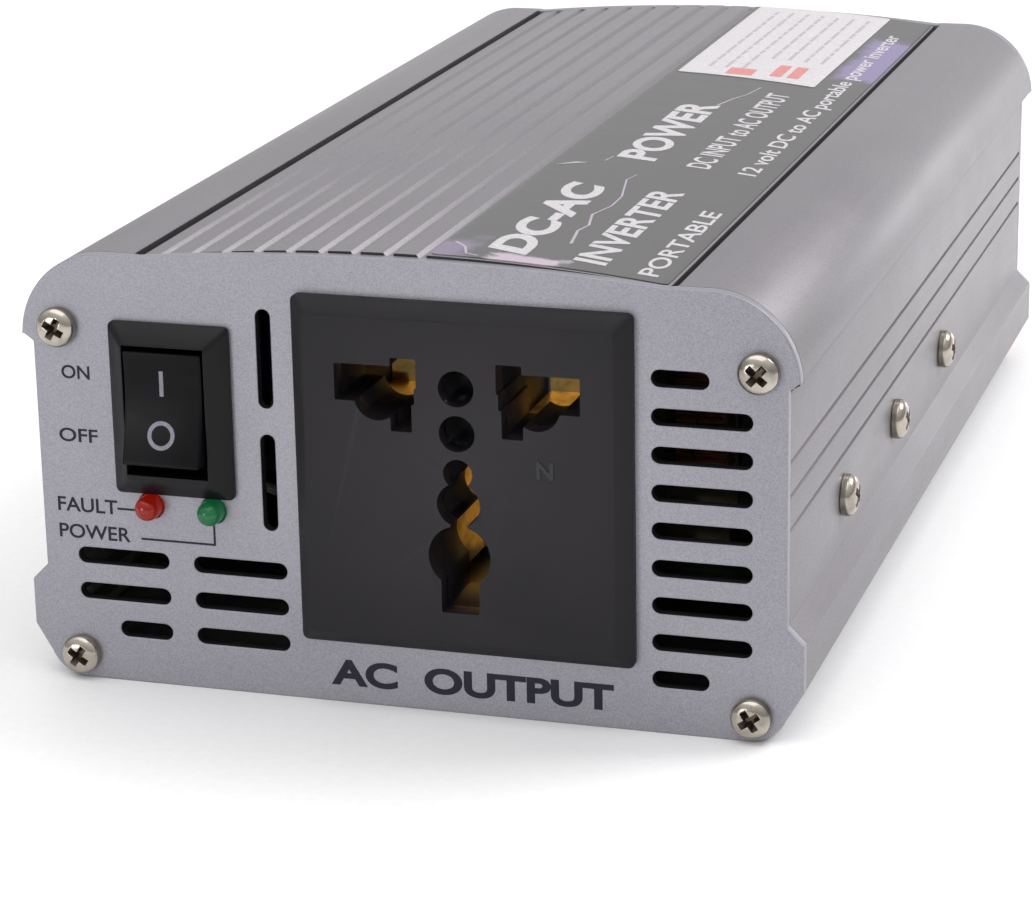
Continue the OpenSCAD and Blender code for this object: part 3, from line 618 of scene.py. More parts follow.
PANEL = metallic_paint("panel_paint", (0.286, 0.280, 0.306))
EXTRUSION = extruded_paint("extrusion_paint", (0.240, 0.227, 0.241))
# Near-black for the slot walls: painted shade inside the slots, the walls being the plate's own paint.
SLOT_SHADE = moulded("slot_wall_painted_shade", (0.012, 0.011, 0.013), 0.7, 0.3, 0.02, gloss=0.2)
# A darker copy of the extrusion paint for the side grooves: painted shade in the grooves.
GROOVE_SHADE = extruded_paint("groove_painted_shade", (0.15, 0.14, 0.15))
# Near-black for the lid's end faces and its step and lip grooves: painted shade.
LID_END_SHADE = moulded("lid_end_painted_shade", (0.035, 0.032, 0.035), 0.6, 0.2, 0.02, gloss=0.2)
# Dark brown for the screws' cross recesses: painted shade inside the recess, the recess being the screw's
# own nickel.
RECESS_SHADE = plated("screw_recess_painted_shade", (0.15, 0.115, 0.09), 0.4)
NICKEL = plated("nickel", (0.44, 0.40, 0.345), 0.15)
BRASS = plated("contact_brass", (0.95, 0.62, 0.20), 0.3)
COPPER = plated("copper_bar", (0.75, 0.36, 0.20), 0.3)
ALUMINIUM = plated("bar_aluminium", (0.68, 0.68, 0.70), 0.36)
SWITCH = moulded("switch_plastic", (0.0050, 0.0048, 0.0060), 0.38, 0.3, 0.008, gloss=0.22)
ROCKER = moulded("rocker_plastic", (0.0022, 0.0022, 0.0030), 0.34, 0.4, 0.005, gloss=0.12)
OUTLET = moulded("outlet_plastic", (0.0095, 0.0082, 0.0102), 0.5, 0.22, 0.014, gloss=0.22)
RAISED = moulded("raised_letter", (0.0035, 0.003, 0.004), 0.3, 0.22, 0.01, gloss=0.5)
COVER = moulded("cover_plastic", (0.03, 0.03, 0.032), 0.55)
CHIP = moulded("chip_epoxy", (0.022, 0.022, 0.024), 0.6, 0.12, 0.01)
FERRITE = moulded("ferrite", (0.035, 0.035, 0.038), 0.62, 0.18, 0.03)
BOBBIN = moulded("bobbin_plastic", (0.11, 0.085, 0.05), 0.5)
PAD = moulded("pad_silicone", (0.50, 0.55, 0.60), 0.7, 0.5, 0.03)
SLEEVE = moulded("capacitor_sleeve", (0.012, 0.013, 0.05), 0.3, 0.8, 0.01, coat=0.4)
FAN = moulded("fan_plastic", (0.015, 0.015, 0.017), 0.5)
RED_KNOB = moulded("terminal_red", (0.48, 0.016, 0.012), 0.38, 0.3, 0.01, coat=0.2)
BLACK_KNOB = moulded("terminal_black", (0.016, 0.016, 0.018), 0.38, 0.3, 0.01, coat=0.2)
IVORY = moulded("insulator_ivory", (0.68, 0.62, 0.48), 0.5)
FUSE = moulded("fuse_plastic", (0.75, 0.27, 0.02), 0.25, 0.5, 0.006, coat=0.5)
RED_WIRE = moulded("wire_red", (0.45, 0.02, 0.015), 0.42, 0.5, 0.01)
YELLOW_WIRE = moulded("wire_yellow", (0.65, 0.45, 0.03), 0.42, 0.5, 0.01)
WHITE_WIRE = moulded("wire_white", (0.65, 0.65, 0.62), 0.42, 0.5, 0.01)
RED_LENS = lens("lamp_red", (0.13, 0.003, 0.001), (1.0, 0.03, 0.004), 0.13)
GREEN_LENS = lens("lamp_green", (0.005, 0.09, 0.032), (0.03, 0.6, 0.2), 0.08)
DARK_INK = ink("legend_ink", (0.013, 0.013, 0.022))
WHITE_INK = ink("mark_grey", (0.20, 0.20, 0.235))
LABEL = label_film("label_film")
LABEL_INK = ink("label_ink", (0.46, 0.44, 0.46), 0.4)
BOLT_INK = ink("bolt_ink", (0.36, 0.31, 0.37), 0.4)
STICKER = ink("sticker_film", (0.50, 0.475, 0.49), 0.36)
STICKER_INK = ink("sticker_ink", (0.36, 0.34, 0.37), 0.45)
STICKER_RED = ink("sticker_red", (0.50, 0.20, 0.19), 0.45)
BOARD = board_mask("board_green")
WINDING = wound_wire("copper_winding", (0.62, 0.24, 0.09))


# ---- camera, light and floor ----

def camera():
    """The view of the object: place in panel millimetres, then turn, height and roll of the axis."""
    data = bpy.data.cameras.new("camera")
    data.sensor_width = 36
    data.lens = 115.99
    data.clip_start = 0.02
    obj = new_object("camera", data)
    place = Vector((121.76, -345.34, 146.99))
    azimuth, elevation, roll = 17.32, 17.65, -1.066
    obj.matrix_world = (
        Matrix.Translation((to_frame() @ place))
        @ turn(azimuth, "Z") @ turn(90 - elevation, "X") @ turn(roll, "Z"))
    bpy.context.scene.camera = obj


def area_light(name, place, target, size, power, spread=180):
    data = bpy.data.lights.new(name, "AREA")
    data.shape = "RECTANGLE"
    data.size, data.size_y = size
    data.energy = power
    data.spread = math.radians(spread)
    obj = new_object(name, data)
    obj.location = place
    obj.rotation_euler = (Vector(target) - Vector(place)).to_track_quat("-Z", "Y").to_euler()


def sky():
    """A plain dome, dim at the horizon and brighter overhead."""
    world = bpy.data.worlds.new("studio")
    world.use_nodes = True
    nodes, links = world.node_tree.nodes, world.node_tree.links
    place = nodes.new("ShaderNodeTexCoord")
    split = nodes.new("ShaderNodeSeparateXYZ")
    ramp = nodes.new("ShaderNodeValToRGB")
    low_end, high_end = ramp.color_ramp.elements
    low_end.position, low_end.color = 0.05, (0.42, 0.42, 0.43, 1)
    high_end.position, high_end.color = 0.85, (1.05, 1.05, 1.05, 1)
    links.new(place.outputs["Generated"], split.inputs["Vector"])
    links.new(split.outputs["Z"], ramp.inputs["Fac"])
    links.new(ramp.outputs["Color"], nodes["Background"].inputs["Color"])
    bpy.context.scene.world = world


def studio():
    sky()
    area_light("key", (-0.75, -1.35, 0.14), (0.0, -0.09, 0.03), (0.55, 0.40), 3.8)
    area_light("top", (-0.08, -0.22, 0.66), (0, -0.05, 0), (0.8, 0.6), 1.65)
    area_light("side", (0.52, 0.26, 0.62), (0, -0.05, 0.03), (0.35, 0.35), 3.9)
    area_light("rim", (0.66, 1.50, 0.15), (0.04, -0.09, 0.05), (0.5, 0.26), 1.0)
    socket = to_frame() @ middle("outlet_face")
    area_light("glint", (0.10, -0.75, 0.20), socket, (0.03, 0.03), 0.0024, 3)
    bpy.context.scene.view_settings.view_transform = "Standard"


def floor():
    """A wide plain sweep with a slow rise at the back."""
    n, half = 40, 3.0
    verts = []
    for i in range(n + 1):
        for j in range(n + 1):
            x, y = half * (2 * i / n - 1), half * (2 * j / n - 1)
            rise = max(0.0, y - 1.2)
            verts.append((x, y, 0.25 * rise * rise))
    row = n + 1
    faces = [(i * row + j, (i + 1) * row + j, (i + 1) * row + j + 1, i * row + j + 1)
             for i in range(n) for j in range(n)]
    obj = mesh_object("floor", verts, faces)
    smooth(obj, 60)
    obj.data.materials.append(floor_paper("floor_paper"))


# ---- case ----

FOOT_X, FOOT_R = HALF_W - 6.5, 4.875
GROOVE_ROWS = (25.3, 29.3, 33.3)
SCREW_BORE_R = 1.45
BOLT_AT = 16
BORE_R = 3.06


def foot_points():
    return arc(FOOT_X, FOOT_R, FOOT_R, -90, -22.6, 10) + [(HALF_W, 6.4), (HALF_W, 12.1), (SIDE_X, 14.1)]


def shoulder_points():
    x, z, r = SHOULDER
    return [(SIDE_X, 42), (HALF_W - 0.6, 43)] + arc(x, z, r, 2.7, 90, 28)


def base_extrusion():
    """Floor and side walls in one: outside grooves, board ledges and screw bosses."""
    groove = []
    for z in GROOVE_ROWS:
        groove += [(SIDE_X, z - 0.27), (SIDE_X - 0.35, z - 0.14),
                   (SIDE_X - 0.35, z + 0.14), (SIDE_X, z + 0.27)]
    ledge_x = WALL_X - 2
    boss_x, boss_z, boss_r = HALF_W - 6, 3.1, 3.05
    inside = [(WALL_X, SEAM_Z)]
    for top, bottom in ((10.8, 9.6), (7.8, 6.6)):
        inside += [(WALL_X, top), (ledge_x, top), (ledge_x, bottom), (WALL_X, bottom)]
    inside += arc(boss_x, boss_z, boss_r, 53.8, 197.2, 16)
    right = foot_points() + groove + [(SIDE_X, SEAM_Z)] + inside
    outline = rounded(right + mirrored(right), 0.16, 2)
    bores = [circle(x, z, SCREW_BORE_R, 24) for x, z in CORNERS if z < 10]
    obj = panel_shape("base_extrusion_body", [outline] + bores, PLATE_T, REAR_Y, 0.12, 1)
    holes = []
    for y in SIDE_SCREW_Y:
        for s in (-1, 1):
            drill = moved(lathe("drill", [(0, -4), (1.6, -4), (1.6, 4), (0, 4)], 32), turn(90, "Z"))
            holes.append(moved(drill, shift(s * (HALF_W - 3), y, SIDE_SCREW_Z)))
    obj = cut(obj, joined("holes", holes))

    def in_groove(face):
        return 25 < face.center.z < 34 and SIDE_X - 0.4 < abs(face.center.x) < SIDE_X - 0.02
    # The side grooves' faces take the darker paint: painted shade.
    darken(obj, in_groove, EXTRUSION, GROOVE_SHADE)
    finish(obj, None, nodes=["base_extrusion"])


def groove_places():
    pitch, first, count = 3.95, -28.95, 9
    return [first + i * pitch for i in range(count)]


def top_extrusion():
    """The crowned lid: shoulders, step grooves, ribs on its left and a plain band on its right.

    Each groove between two ribs has a sloping left wall and an upright right one.
    """
    top = []
    half_groove, depth, slope = 0.6, 0.5, 0.38
    steps = 96
    for i in range(steps + 1):
        x = -CROWN_HALF + 2 * CROWN_HALF * i / steps
        if all(abs(x - g) > half_groove + 0.05 for g in groove_places()):
            top.append((x, crown(x)))
    for g in groove_places():
        floor_z = crown(g) - depth
        top += [(g - half_groove, crown(g - half_groove)), (g - half_groove + slope, floor_z),
                (g + half_groove - 0.04, floor_z), (g + half_groove, crown(g + half_groove))]
    top = sorted(set(top))
    x_s, z_s, r_s = SHOULDER
    tongue_out, tongue_in = WALL_X - 0.15, WALL_X - 1.45
    inside = [(tongue_out, SEAM_Z), (tongue_out, SEAM_Z - 3), (tongue_in, SEAM_Z - 3), (tongue_in, SEAM_Z)]
    inside += arc(HALF_W - 5.3, 44, 3.05, 238.5, 64.1, 24) + arc(x_s, z_s, r_s - WALL_T, 30.7, 77.4, 12)
    lip_groove = [(SIDE_X, 41.6), (SIDE_X - 0.4, 41.65), (SIDE_X - 0.4, 41.9), (SIDE_X, 41.95)]
    outside = [(SIDE_X, SEAM_Z)] + lip_groove + shoulder_points()
    outside += [(LID_EDGE_X, 53), (LID_EDGE_X, STEP_Z), (CROWN_HALF, STEP_Z)]
    right = list(reversed(inside)) + outside
    outline = rounded(right + list(reversed(top)) + mirrored(right), 0.12, 2)
    bores = [circle(x, z, SCREW_BORE_R, 24) for x, z in CORNERS if z > 10]
    obj = panel_shape("top_extrusion_body", [outline] + bores, PLATE_T, REAR_Y, 0.05, 1)

    def dark(face):
        """Faces painted dark as shade: the lid's end faces, the step grooves beside the shoulders and the
        grooves under their lips.
        """
        c = face.center
        in_step = CROWN_HALF - 0.1 < abs(c.x) < LID_EDGE_X + 0.1 and STEP_Z - 0.2 < c.z < 52.9
        under_lip = 41.55 < c.z < 42 and abs(c.x) < SIDE_X - 0.05
        return abs(face.normal.y) > 0.6 or in_step or under_lip
    # The lid's ends and its step and lip grooves take the near-black material: painted shade.
    darken(obj, dark, EXTRUSION, LID_END_SHADE)
    finish(obj, None, nodes=["top_extrusion"])


def plate_outline():
    edge, rise = 31.9, 1.6
    r = (edge ** 2 + rise ** 2) / (2 * rise)
    a = math.degrees(math.acos(edge / r))
    right = foot_points() + shoulder_points() + [(LID_EDGE_X, 53)]
    return rounded(right + arc(0, CROWN_Z - 0.3 - r, r, a, 180 - a, 48) + mirrored(right), 0.3, 3)


def darken(obj, walls, material, dark):
    """Gives the faces that walls(face) picks the second of two materials."""
    mesh = obj.data
    mesh.materials.clear()
    mesh.materials.append(material)
    mesh.materials.append(dark)
    for face in mesh.polygons:
        face.material_index = 1 if walls(face) else 0


def slot_walls(slots):
    """A test for the inner walls of the slots, which get painted shade: faces that look sideways, within a
    slot's bounds.
    """
    bounds = [(min(x for x, _ in s) - 0.1, max(x for x, _ in s) + 0.1,
               min(z for _, z in s) - 0.1, max(z for _, z in s) + 0.1) for s in slots]

    def test(face):
        c = face.center
        inside = any(x0 < c.x < x1 and z0 < c.z < z1 for x0, x1, z0, z1 in bounds)
        return inside and abs(face.normal.y) < 0.4
    return test


def screw_holes():
    return [circle(x, z, 1.55, 24) for x, z in CORNERS]


def front_plate():
    slots = [tall_slot(-16.4, z0, z1, 1.8) for z0, z1 in ((35.7, 47.6), (20.7, 32.5))]
    for x0, x1, z in ((-41.3, -29.6, 15.7), (-41.3, -29.6, 11.2), (-36.3, -29.6, 6.7),
                      (-26.4, -14.6, 15.7), (-26.4, -14.6, 11.2), (-26.4, -14.6, 6.7)):
        slots.append(wide_slot(x0, x1, z, 2))
    rows = 9
    for i in range(rows):
        slots.append(wide_slot(29.8, 36.5 if i in (0, rows - 1) else 41.5, 42.56 - i * 4.49, 2))
    socket, switch = middle("outlet_face"), joint_place("rocker_tilt")
    cutouts = [rectangle(socket.x, socket.z, 35.4, 37.4), rectangle(switch.x, switch.z, 12.8, 18.8)]
    lamps = [circle(middle(lamp).x, middle(lamp).z, 1.6, 32) for lamp in ("fault_lamp", "power_lamp")]
    outlines = [plate_outline()] + screw_holes() + slots + cutouts + lamps
    obj = panel_shape("front_plate_sheet", outlines, 0, PLATE_T, 0.14, 2)
    # The slot walls take the near-black material: painted shade.
    darken(obj, slot_walls(slots), PANEL, SLOT_SHADE)
    finish(obj, None, nodes=["front_plate"])


def ring_slot(cx, cz, r0, r1, a0, a1):
    """One arc slot of the fan grille, with rounded corners."""
    return rounded(arc(cx, cz, r1, a0, a1, 18) + arc(cx, cz, r0, a1, a0, 18), 0.7, 3)


def rear_plate():
    fan = joint_place("fan_spin")
    half_spoke = 1.2
    slots = [circle(fan.x, fan.z, 4, 40)]
    for r in (8, 12, 16):
        r0, r1 = r - 1.2, r + 1.5
        gap = math.degrees(math.asin(half_spoke / r))
        for a in (-45, 45, 135, 225):
            slots.append(ring_slot(fan.x, fan.z, r0, r1, a + gap, a + 90 - gap))
    bolts = [circle(fan.x + i * BOLT_AT, fan.z + j * BOLT_AT, 1.6, 24) for i in (-1, 1) for j in (-1, 1)]
    posts = [circle(middle(c).x, middle(c).z, 5, 40) for c in ("positive_collar", "negative_collar")]
    outlines = [plate_outline()] + screw_holes() + slots + bolts + posts
    obj = panel_shape("rear_plate_sheet", outlines, REAR_Y, CASE_L, 0.14, 2)
    # The slot walls take the near-black material: painted shade.
    darken(obj, slot_walls(slots), PANEL, SLOT_SHADE)
    finish(obj, None, nodes=["rear_plate"])


# ---- screws ----

SIDE_SCREW_Y = (31, 63.3, 97.5)
SIDE_SCREW_Z = middle("side_screws").z


def cross_recess(reach, width, depth, top):
    """A tapered cross that cuts a screw head, its wide end above y = top. It carries a dark brown
    material, painted shade inside the recess.
    """
    w, r = width / 2, reach
    cross = [(w, w), (w, r), (-w, r), (-w, w), (-r, w), (-r, -w),
             (-w, -w), (-w, -r), (w, -r), (w, -w), (r, -w), (r, w)]
    verts = []
    for y, k in ((top - 0.4, 1.12), (top + depth, 0.5)):
        verts += [(x * k, y, z * k) for x, z in cross]
    n = len(cross)
    faces = [tuple(range(n)), tuple(range(2 * n - 1, n - 1, -1))]
    faces += [(i, i + n, (i + 1) % n + n, (i + 1) % n) for i in range(n)]
    obj = solid("cross", verts, faces)
    # The recess faces take the dark brown material: painted shade.
    obj.data.materials.append(RECESS_SHADE)
    return obj


def pan_screw(name, head_r, head_h, shank_r, shank_l):
    """A pan head screw with a cross recess and a threaded shank, seat at y = 0, head towards -Y."""
    profile = [(0, -head_h)]
    for i in range(1, 13):
        a = math.radians(90 * i / 12)
        flat = head_r * 0.3
        profile.append((flat + (head_r - flat) * math.sin(a), -head_h * (0.36 + 0.64 * math.cos(a))))
    profile += [(head_r, -head_h * 0.1), (head_r - 0.12, 0), (shank_r, 0)]
    pitch = 0.9
    turns = int((shank_l - 1.5) / pitch)
    for i in range(turns):
        y = 0.3 + i * pitch
        profile += [(shank_r - 0.32, y), (shank_r, y + pitch * 0.5)]
    profile += [(shank_r - 0.32, 0.3 + turns * pitch), (0, shank_l)]
    obj = lathe(name, profile, 48)
    obj.data.materials.append(NICKEL)
    cross = moved(cross_recess(head_r * 0.6, head_r * 0.38, head_h * 0.8, -head_h), turn(20, "Y"))
    return soften(cut(obj, cross), 0.06, 2, 40)


def screws():
    random.seed(4)
    spins = [random.uniform(0, 90) for _ in range(18)]
    front = [shift(x, 0, z) @ turn(spins[i], "Y") for i, (x, z) in enumerate(CORNERS)]
    obj = copies("front_corner_screws", pan_screw("s", 2.4, 1.7, 1.4, 11), front)
    finish(obj, None, nodes=["front_plate_screws"])
    rear = [shift(x, CASE_L, z) @ turn(180, "Z") @ turn(spins[4 + i], "Y")
            for i, (x, z) in enumerate(CORNERS)]
    obj = copies("rear_corner_screws", pan_screw("s", 2.4, 1.7, 1.4, 11), rear)
    finish(obj, None, nodes=["rear_plate_screws"])
    side = [shift(s * SIDE_X, y, SIDE_SCREW_Z) @ turn(90 * s, "Z") @ turn(spins[8 + i], "Y")
            for i, (y, s) in enumerate((y, s) for y in SIDE_SCREW_Y for s in (-1, 1))]
    obj = copies("side_wall_screws", pan_screw("s", 2.6, 1.9, 1.5, 9.5), side)
    finish(obj, None, nodes=["side_screws"])
    fan = joint_place("fan_spin")
    places = [shift(fan.x + i * BOLT_AT, CASE_L, fan.z + j * BOLT_AT)
              @ turn(180, "Z") @ turn(spins[14 + i + j], "Y") for i in (-1, 1) for j in (-1, 1)]
    obj = copies("fan_bolts", pan_screw("s", 2.7, 1.6, 1.5, 24.5), places)
    finish(obj, None, nodes=["fan_screws"])


# ---- AC socket ----

def bevelled_pad(name, w, h, out, lip, bevel, corner):
    """A raised pad with bevelled sides and slightly rounded corners, from y = 0 to y = -out."""
    levels = [(0.0, 0.0), (lip, 0.0), (out - 0.12, bevel - 0.1), (out, bevel + 0.12)]
    verts, count = [], 0
    for y, inset in levels:
        outline = rectangle(0, 0, w - 2 * inset, h - 2 * inset, corner)
        count = len(outline)
        verts += [(x, -y, z) for x, z in outline]
    faces = [tuple(range(count))]
    for level in range(len(levels) - 1):
        for i in range(count):
            a, b = level * count + i, level * count + (i + 1) % count
            faces.append((a, b, b + count, a + count))
    faces.append(tuple(reversed(range((len(levels) - 1) * count, len(levels) * count))))
    return solid(name, verts, faces)


def line_hole():
    """The joined slots of one line pin, drawn for the right side from the socket's middle."""
    return ([(4.75, 14.7), (4.75, 11.2), (5.0, 11.2), (5.0, 9.3), (5.35, 9.3), (5.35, 6.0), (7.9, 6.0)]
            + arc(9.5, 9.9, 2.75, -125.6, -12.6, 12)
            + [(14.6, 9.3), (14.6, 13.7), (7.8, 13.7), (7.8, 14.7)])


def earth_hole():
    """The keyhole column below the two round holes."""
    right = ([(2.3, -15.5)] + arc(0, -8.6, 3.75, -52.2, 74.5, 14) + arc(0, -2.3, 2.6, -67.4, 64.7, 12)
             + arc(0, 1.4, 1.75, -50.5, 90, 12))
    return right + mirrored(right)[1:]


def socket_holes():
    rounds = [circle(0, 11.5, 2.13, 32), circle(0, 6.2, 2.15, 32)]
    return [line_hole(), mirrored(line_hole())] + rounds + [earth_hole()]


def outlet():
    socket = middle("outlet_face")
    place = shift(socket.x, 0, socket.z)
    back = high("outlet_face").y
    face = bevelled_pad("outlet_face_front", 40.5, 42, 2.6, 0.9, 1.7, 0.9)
    cutter = panel_shape("holes", [rounded(h, 0.18, 2) for h in socket_holes()], -4, 1, 0)
    face = soften(cut(face, cutter), 0.16, 3, 30)
    moved(face, place)
    finish(face, OUTLET, nodes=["outlet_face"], angle=28)
    core = panel_shape("outlet_face_core", [rectangle(0, 0, 35.3, 37.3)]
                       + [rounded(h, 0.18, 2) for h in socket_holes()], 0.02, back, 0.05, 1)
    moved(core, place)
    finish(core, OUTLET, nodes=["outlet_face"])
    letter = text_shape("neutral_mark", "N", 2.1, 2.0, 0.12, bold=0.3)
    moved(letter, shift(socket.x + 10.4, low("outlet_face").y - 0.05, socket.z + 2.6))
    finish(letter, RAISED)


# ---- switch ----

def switch():
    pivot = joint_place("rocker_tilt")
    tilt = max(abs(v) for v in joint("rocker_tilt")["range_deg"]) / 2
    centre = middle("switch_housing")
    up = pivot.z - centre.z
    bezel = bevelled_pad("switch_bezel", 15, 21, -low("switch_housing").y, 0.6, 2.2, 0.8)
    bezel = cut(bezel, box_mesh("opening", -5.1, 5.1, -4, 1, up - 7.9, up + 7.9))
    bezel = soften(bezel, 0.16, 3, 30)
    moved(bezel, shift(centre.x, 0, centre.z))
    finish(bezel, SWITCH, nodes=["switch_housing"], angle=28)
    depth = high("switch_housing").y
    opening = rectangle(0, up, 10.2, 15.8, 0.3)
    wall = panel_shape("w", [rectangle(0, 0, 12.7, 18.7, 0.4), opening], 0.02, 13, 0.1, 1)
    back = panel_shape("b", [rectangle(0, 0, 12.7, 18.7, 0.4)], 13, depth, 0.1, 1)
    housing = joined("switch_housing_body", [wall, back])
    moved(housing, shift(centre.x, 0, centre.z))
    finish(housing, SWITCH, nodes=["switch_housing"])
    rocker(pivot, tilt)


def rocker(pivot, tilt):
    """The rocker, drawn in the middle of its travel and then turned to rest on its upper half."""
    proud, half, width = 2.9, 6.7, 9.7
    face = (proud + pivot.y) / math.cos(math.radians(tilt))
    slope = math.tan(math.radians(tilt))
    soft = 0.8

    def front(v):
        """Distance from the pivot to the finger surface: two planes that meet in a soft valley."""
        valley = math.sqrt(v * v + soft * soft) - soft * 0.6
        hollow = 0.12 * math.sin(math.pi * min(1, abs(v) / half))
        return face + slope * valley - hollow

    steps = 28
    heights = [half * (2 * i / steps - 1) for i in range(steps + 1)]
    points = [(-front(v), v) for v in heights]
    points += [(0.6, half), (2.4, 5), (2.4, -5), (0.6, -half)]
    body = sheet_shape("rocker_cap", [rounded(points, 0.3, 4)], width, 0.28, 3)
    # The drawing's x becomes y, and its y becomes z.
    moved(body, Matrix(((0, 0, 1, 0), (1, 0, 0, 0), (0, 1, 0, 0), (0, 0, 0, 1))))
    trunnion = lathe("t", [(0, -5.8), (0.9, -5.8), (0.9, 5.8), (0, 5.8)], 24)
    moved(trunnion, turn(90, "Z"))
    stem = ring("s", [(1.1, 2.2), (1.9, 2.2), (1.9, 4.9), (1.8, 5.0), (1.1, 5.0)], 32)
    at_rest = shift(pivot.x, pivot.y, pivot.z) @ turn(-tilt, "X")
    body = moved(joined("rocker_cap", [body, trunnion, stem]), at_rest)
    finish(body, ROCKER, "rocker", ["switch_rocker"], angle=30)

    def mark(name, outlines):
        """A printed mark, drawn in x and z, that follows the finger surface."""
        obj = panel_shape(name, outlines, -0.02, 0.01, 0)
        for v in obj.data.vertices:
            v.co.y -= front(v.co.z) + 0.012
        finish(moved(obj, at_rest), WHITE_INK, "rocker")

    stroke = 0.5
    mark("mark_on", [bar_outline(-0.12, 1.55, 4.55, stroke, 12)])
    ring_z, ring_r = -3.05, 1.7
    mark("mark_off", [circle(-0.12, ring_z, ring_r, 72), circle(-0.12, ring_z, ring_r - stroke, 72)])


def bar_outline(x, z0, z1, w, n):
    """An upright bar with points along its sides, so that it can follow a curved face."""
    right = [(x + w / 2, z0 + (z1 - z0) * i / n) for i in range(n + 1)]
    return right + [(2 * x - a, z) for a, z in reversed(right)]


# ---- lamps ----

def lamp(node, slot, material):
    """A lamp's lens and its two legs."""
    name = node + "_lens"
    centre = middle(node)
    r = 1.5
    dome = [(0, -1.2 - r)] + [(r * math.sin(math.radians(a)), -1.2 - r * math.cos(math.radians(a)))
                              for a in range(8, 91, 8)]
    flange = [(r, PLATE_T), (2.0, PLATE_T), (2.0, PLATE_T + 1), (r, PLATE_T + 1.05)]
    profile = dome + flange + [(r, 3.4), (0, 3.5)]
    obj = lathe(name, profile, 48)
    moved(obj, shift(centre.x, 0, centre.z))
    finish(obj, material, nodes=[node], angle=40)
    legs = []
    for dx in (-0.6, 0.6):
        leg = lathe("leg", [(0, 3.4), (0.25, 3.4), (0.25, 9), (0, 9)], 12)
        legs.append(moved(leg, shift(centre.x + dx, 0, centre.z)))
    finish(joined(name + "_legs", legs), NICKEL, nodes=[node])


# ---- lettering ----

def text_shape(name, body, height, width, depth, bold=0.0, italic=0.0):
    """Words in the built-in font as a mesh, with the middle at 0, height tall and width wide."""
    data = bpy.data.curves.new(name, "FONT")
    data.body = body
    data.size = 10
    data.align_x = "LEFT"
    data.offset = bold
    data.shear = italic
    data.resolution_u = 6
    obj = baked(new_object(name, data))
    xs = [v.co.x for v in obj.data.vertices]
    ys = [v.co.y for v in obj.data.vertices]
    fit = Matrix.Diagonal((width / (max(xs) - min(xs)), height / (max(ys) - min(ys)), 1, 1))
    centre = shift(-(max(xs) + min(xs)) / 2, -(max(ys) + min(ys)) / 2, 0)
    obj.data.transform(fit @ centre)
    mod = obj.modifiers.new("thickness", "SOLIDIFY")
    mod.thickness = depth
    mod.offset = 0
    obj = baked(obj)
    weld(obj.data, 1e-5)
    obj.data.transform(turn(90, "X"))
    return obj


def line_mark(name, outlines):
    finish(panel_shape(name, outlines, -0.027, 0.003, 0), DARK_INK)


def legends():
    for name, body, x, z, height, width, bold in (
            ("legend_on", "ON", -40.3, 38.5, 1.67, 3.6, 0.14),
            ("legend_off", "OFF", -40.4, 30.7, 1.7, 4.95, 0.14),
            ("legend_fault", "FAULT", -39.75, 22.0, 1.8, 7.7, 0.14),
            ("legend_power", "POWER", -39.0, 18.65, 1.8, 9.2, 0.14),
            ("legend_output", "AC  OUTPUT", 7.85, 3.75, 3.3, 34.7, 0.38)):
        letters = text_shape(name, body, height, width, 0.03, bold)
        finish(moved(letters, shift(x, -0.012, z)), DARK_INK)
    lamp_x = middle("power_lamp").x
    line_mark("leader_fault", [rectangle(-34.55, 21.9, 2.7, 0.26)])
    bend = [(-33.0, 18.23), (lamp_x + 0.13, 18.23), (lamp_x + 0.13, 20.9), (lamp_x - 0.13, 20.9),
            (lamp_x - 0.13, 18.49), (-33.0, 18.49)]
    line_mark("leader_power", [bend])


# ---- label on the lid ----

def on_crown(obj, lift):
    """Lays a flat mesh, drawn in x and y at z = 0, on the lid's crown."""
    for v in obj.data.vertices:
        v.co.z += crown(v.co.x) + lift
    return obj


def divided(obj, step=1.2):
    """Splits long edges, so that a flat mesh can follow the crown."""
    bm = bmesh.new()
    bm.from_mesh(obj.data)
    for _ in range(6):
        long_edges = [e for e in bm.edges if abs(e.verts[0].co.x - e.verts[1].co.x) > step]
        if not long_edges:
            break
        bmesh.ops.subdivide_edges(bm, edges=long_edges, cuts=1)
        bmesh.ops.triangulate(bm, faces=[f for f in bm.faces if len(f.verts) > 4])
    bm.to_mesh(obj.data)
    bm.free()
    return obj


def film(name, x0, x1, y0, y1, low_z, high_z, corner):
    """A thin printed film that follows the crown, with rounded corners."""
    outline = rectangle((x0 + x1) / 2, (y0 + y1) / 2, x1 - x0, y1 - y0, corner)
    obj = sheet_shape(name, [outline], high_z - low_z, 0.02, 1)
    return on_crown(divided(obj), (low_z + high_z) / 2)


def label_text(name, body, x, y0, y1, height, lift, bold, italic):
    """A word along +Y on the lid, letter tops towards -X, from y0 to y1."""
    obj = text_shape(name, body, height, y1 - y0, 0.02, bold, italic)
    moved(obj, shift(x, (y0 + y1) / 2, 0) @ turn(90, "Z") @ turn(-90, "X"))
    divided(obj, 1.5)
    on_crown(obj, lift)
    finish(obj, LABEL_INK)


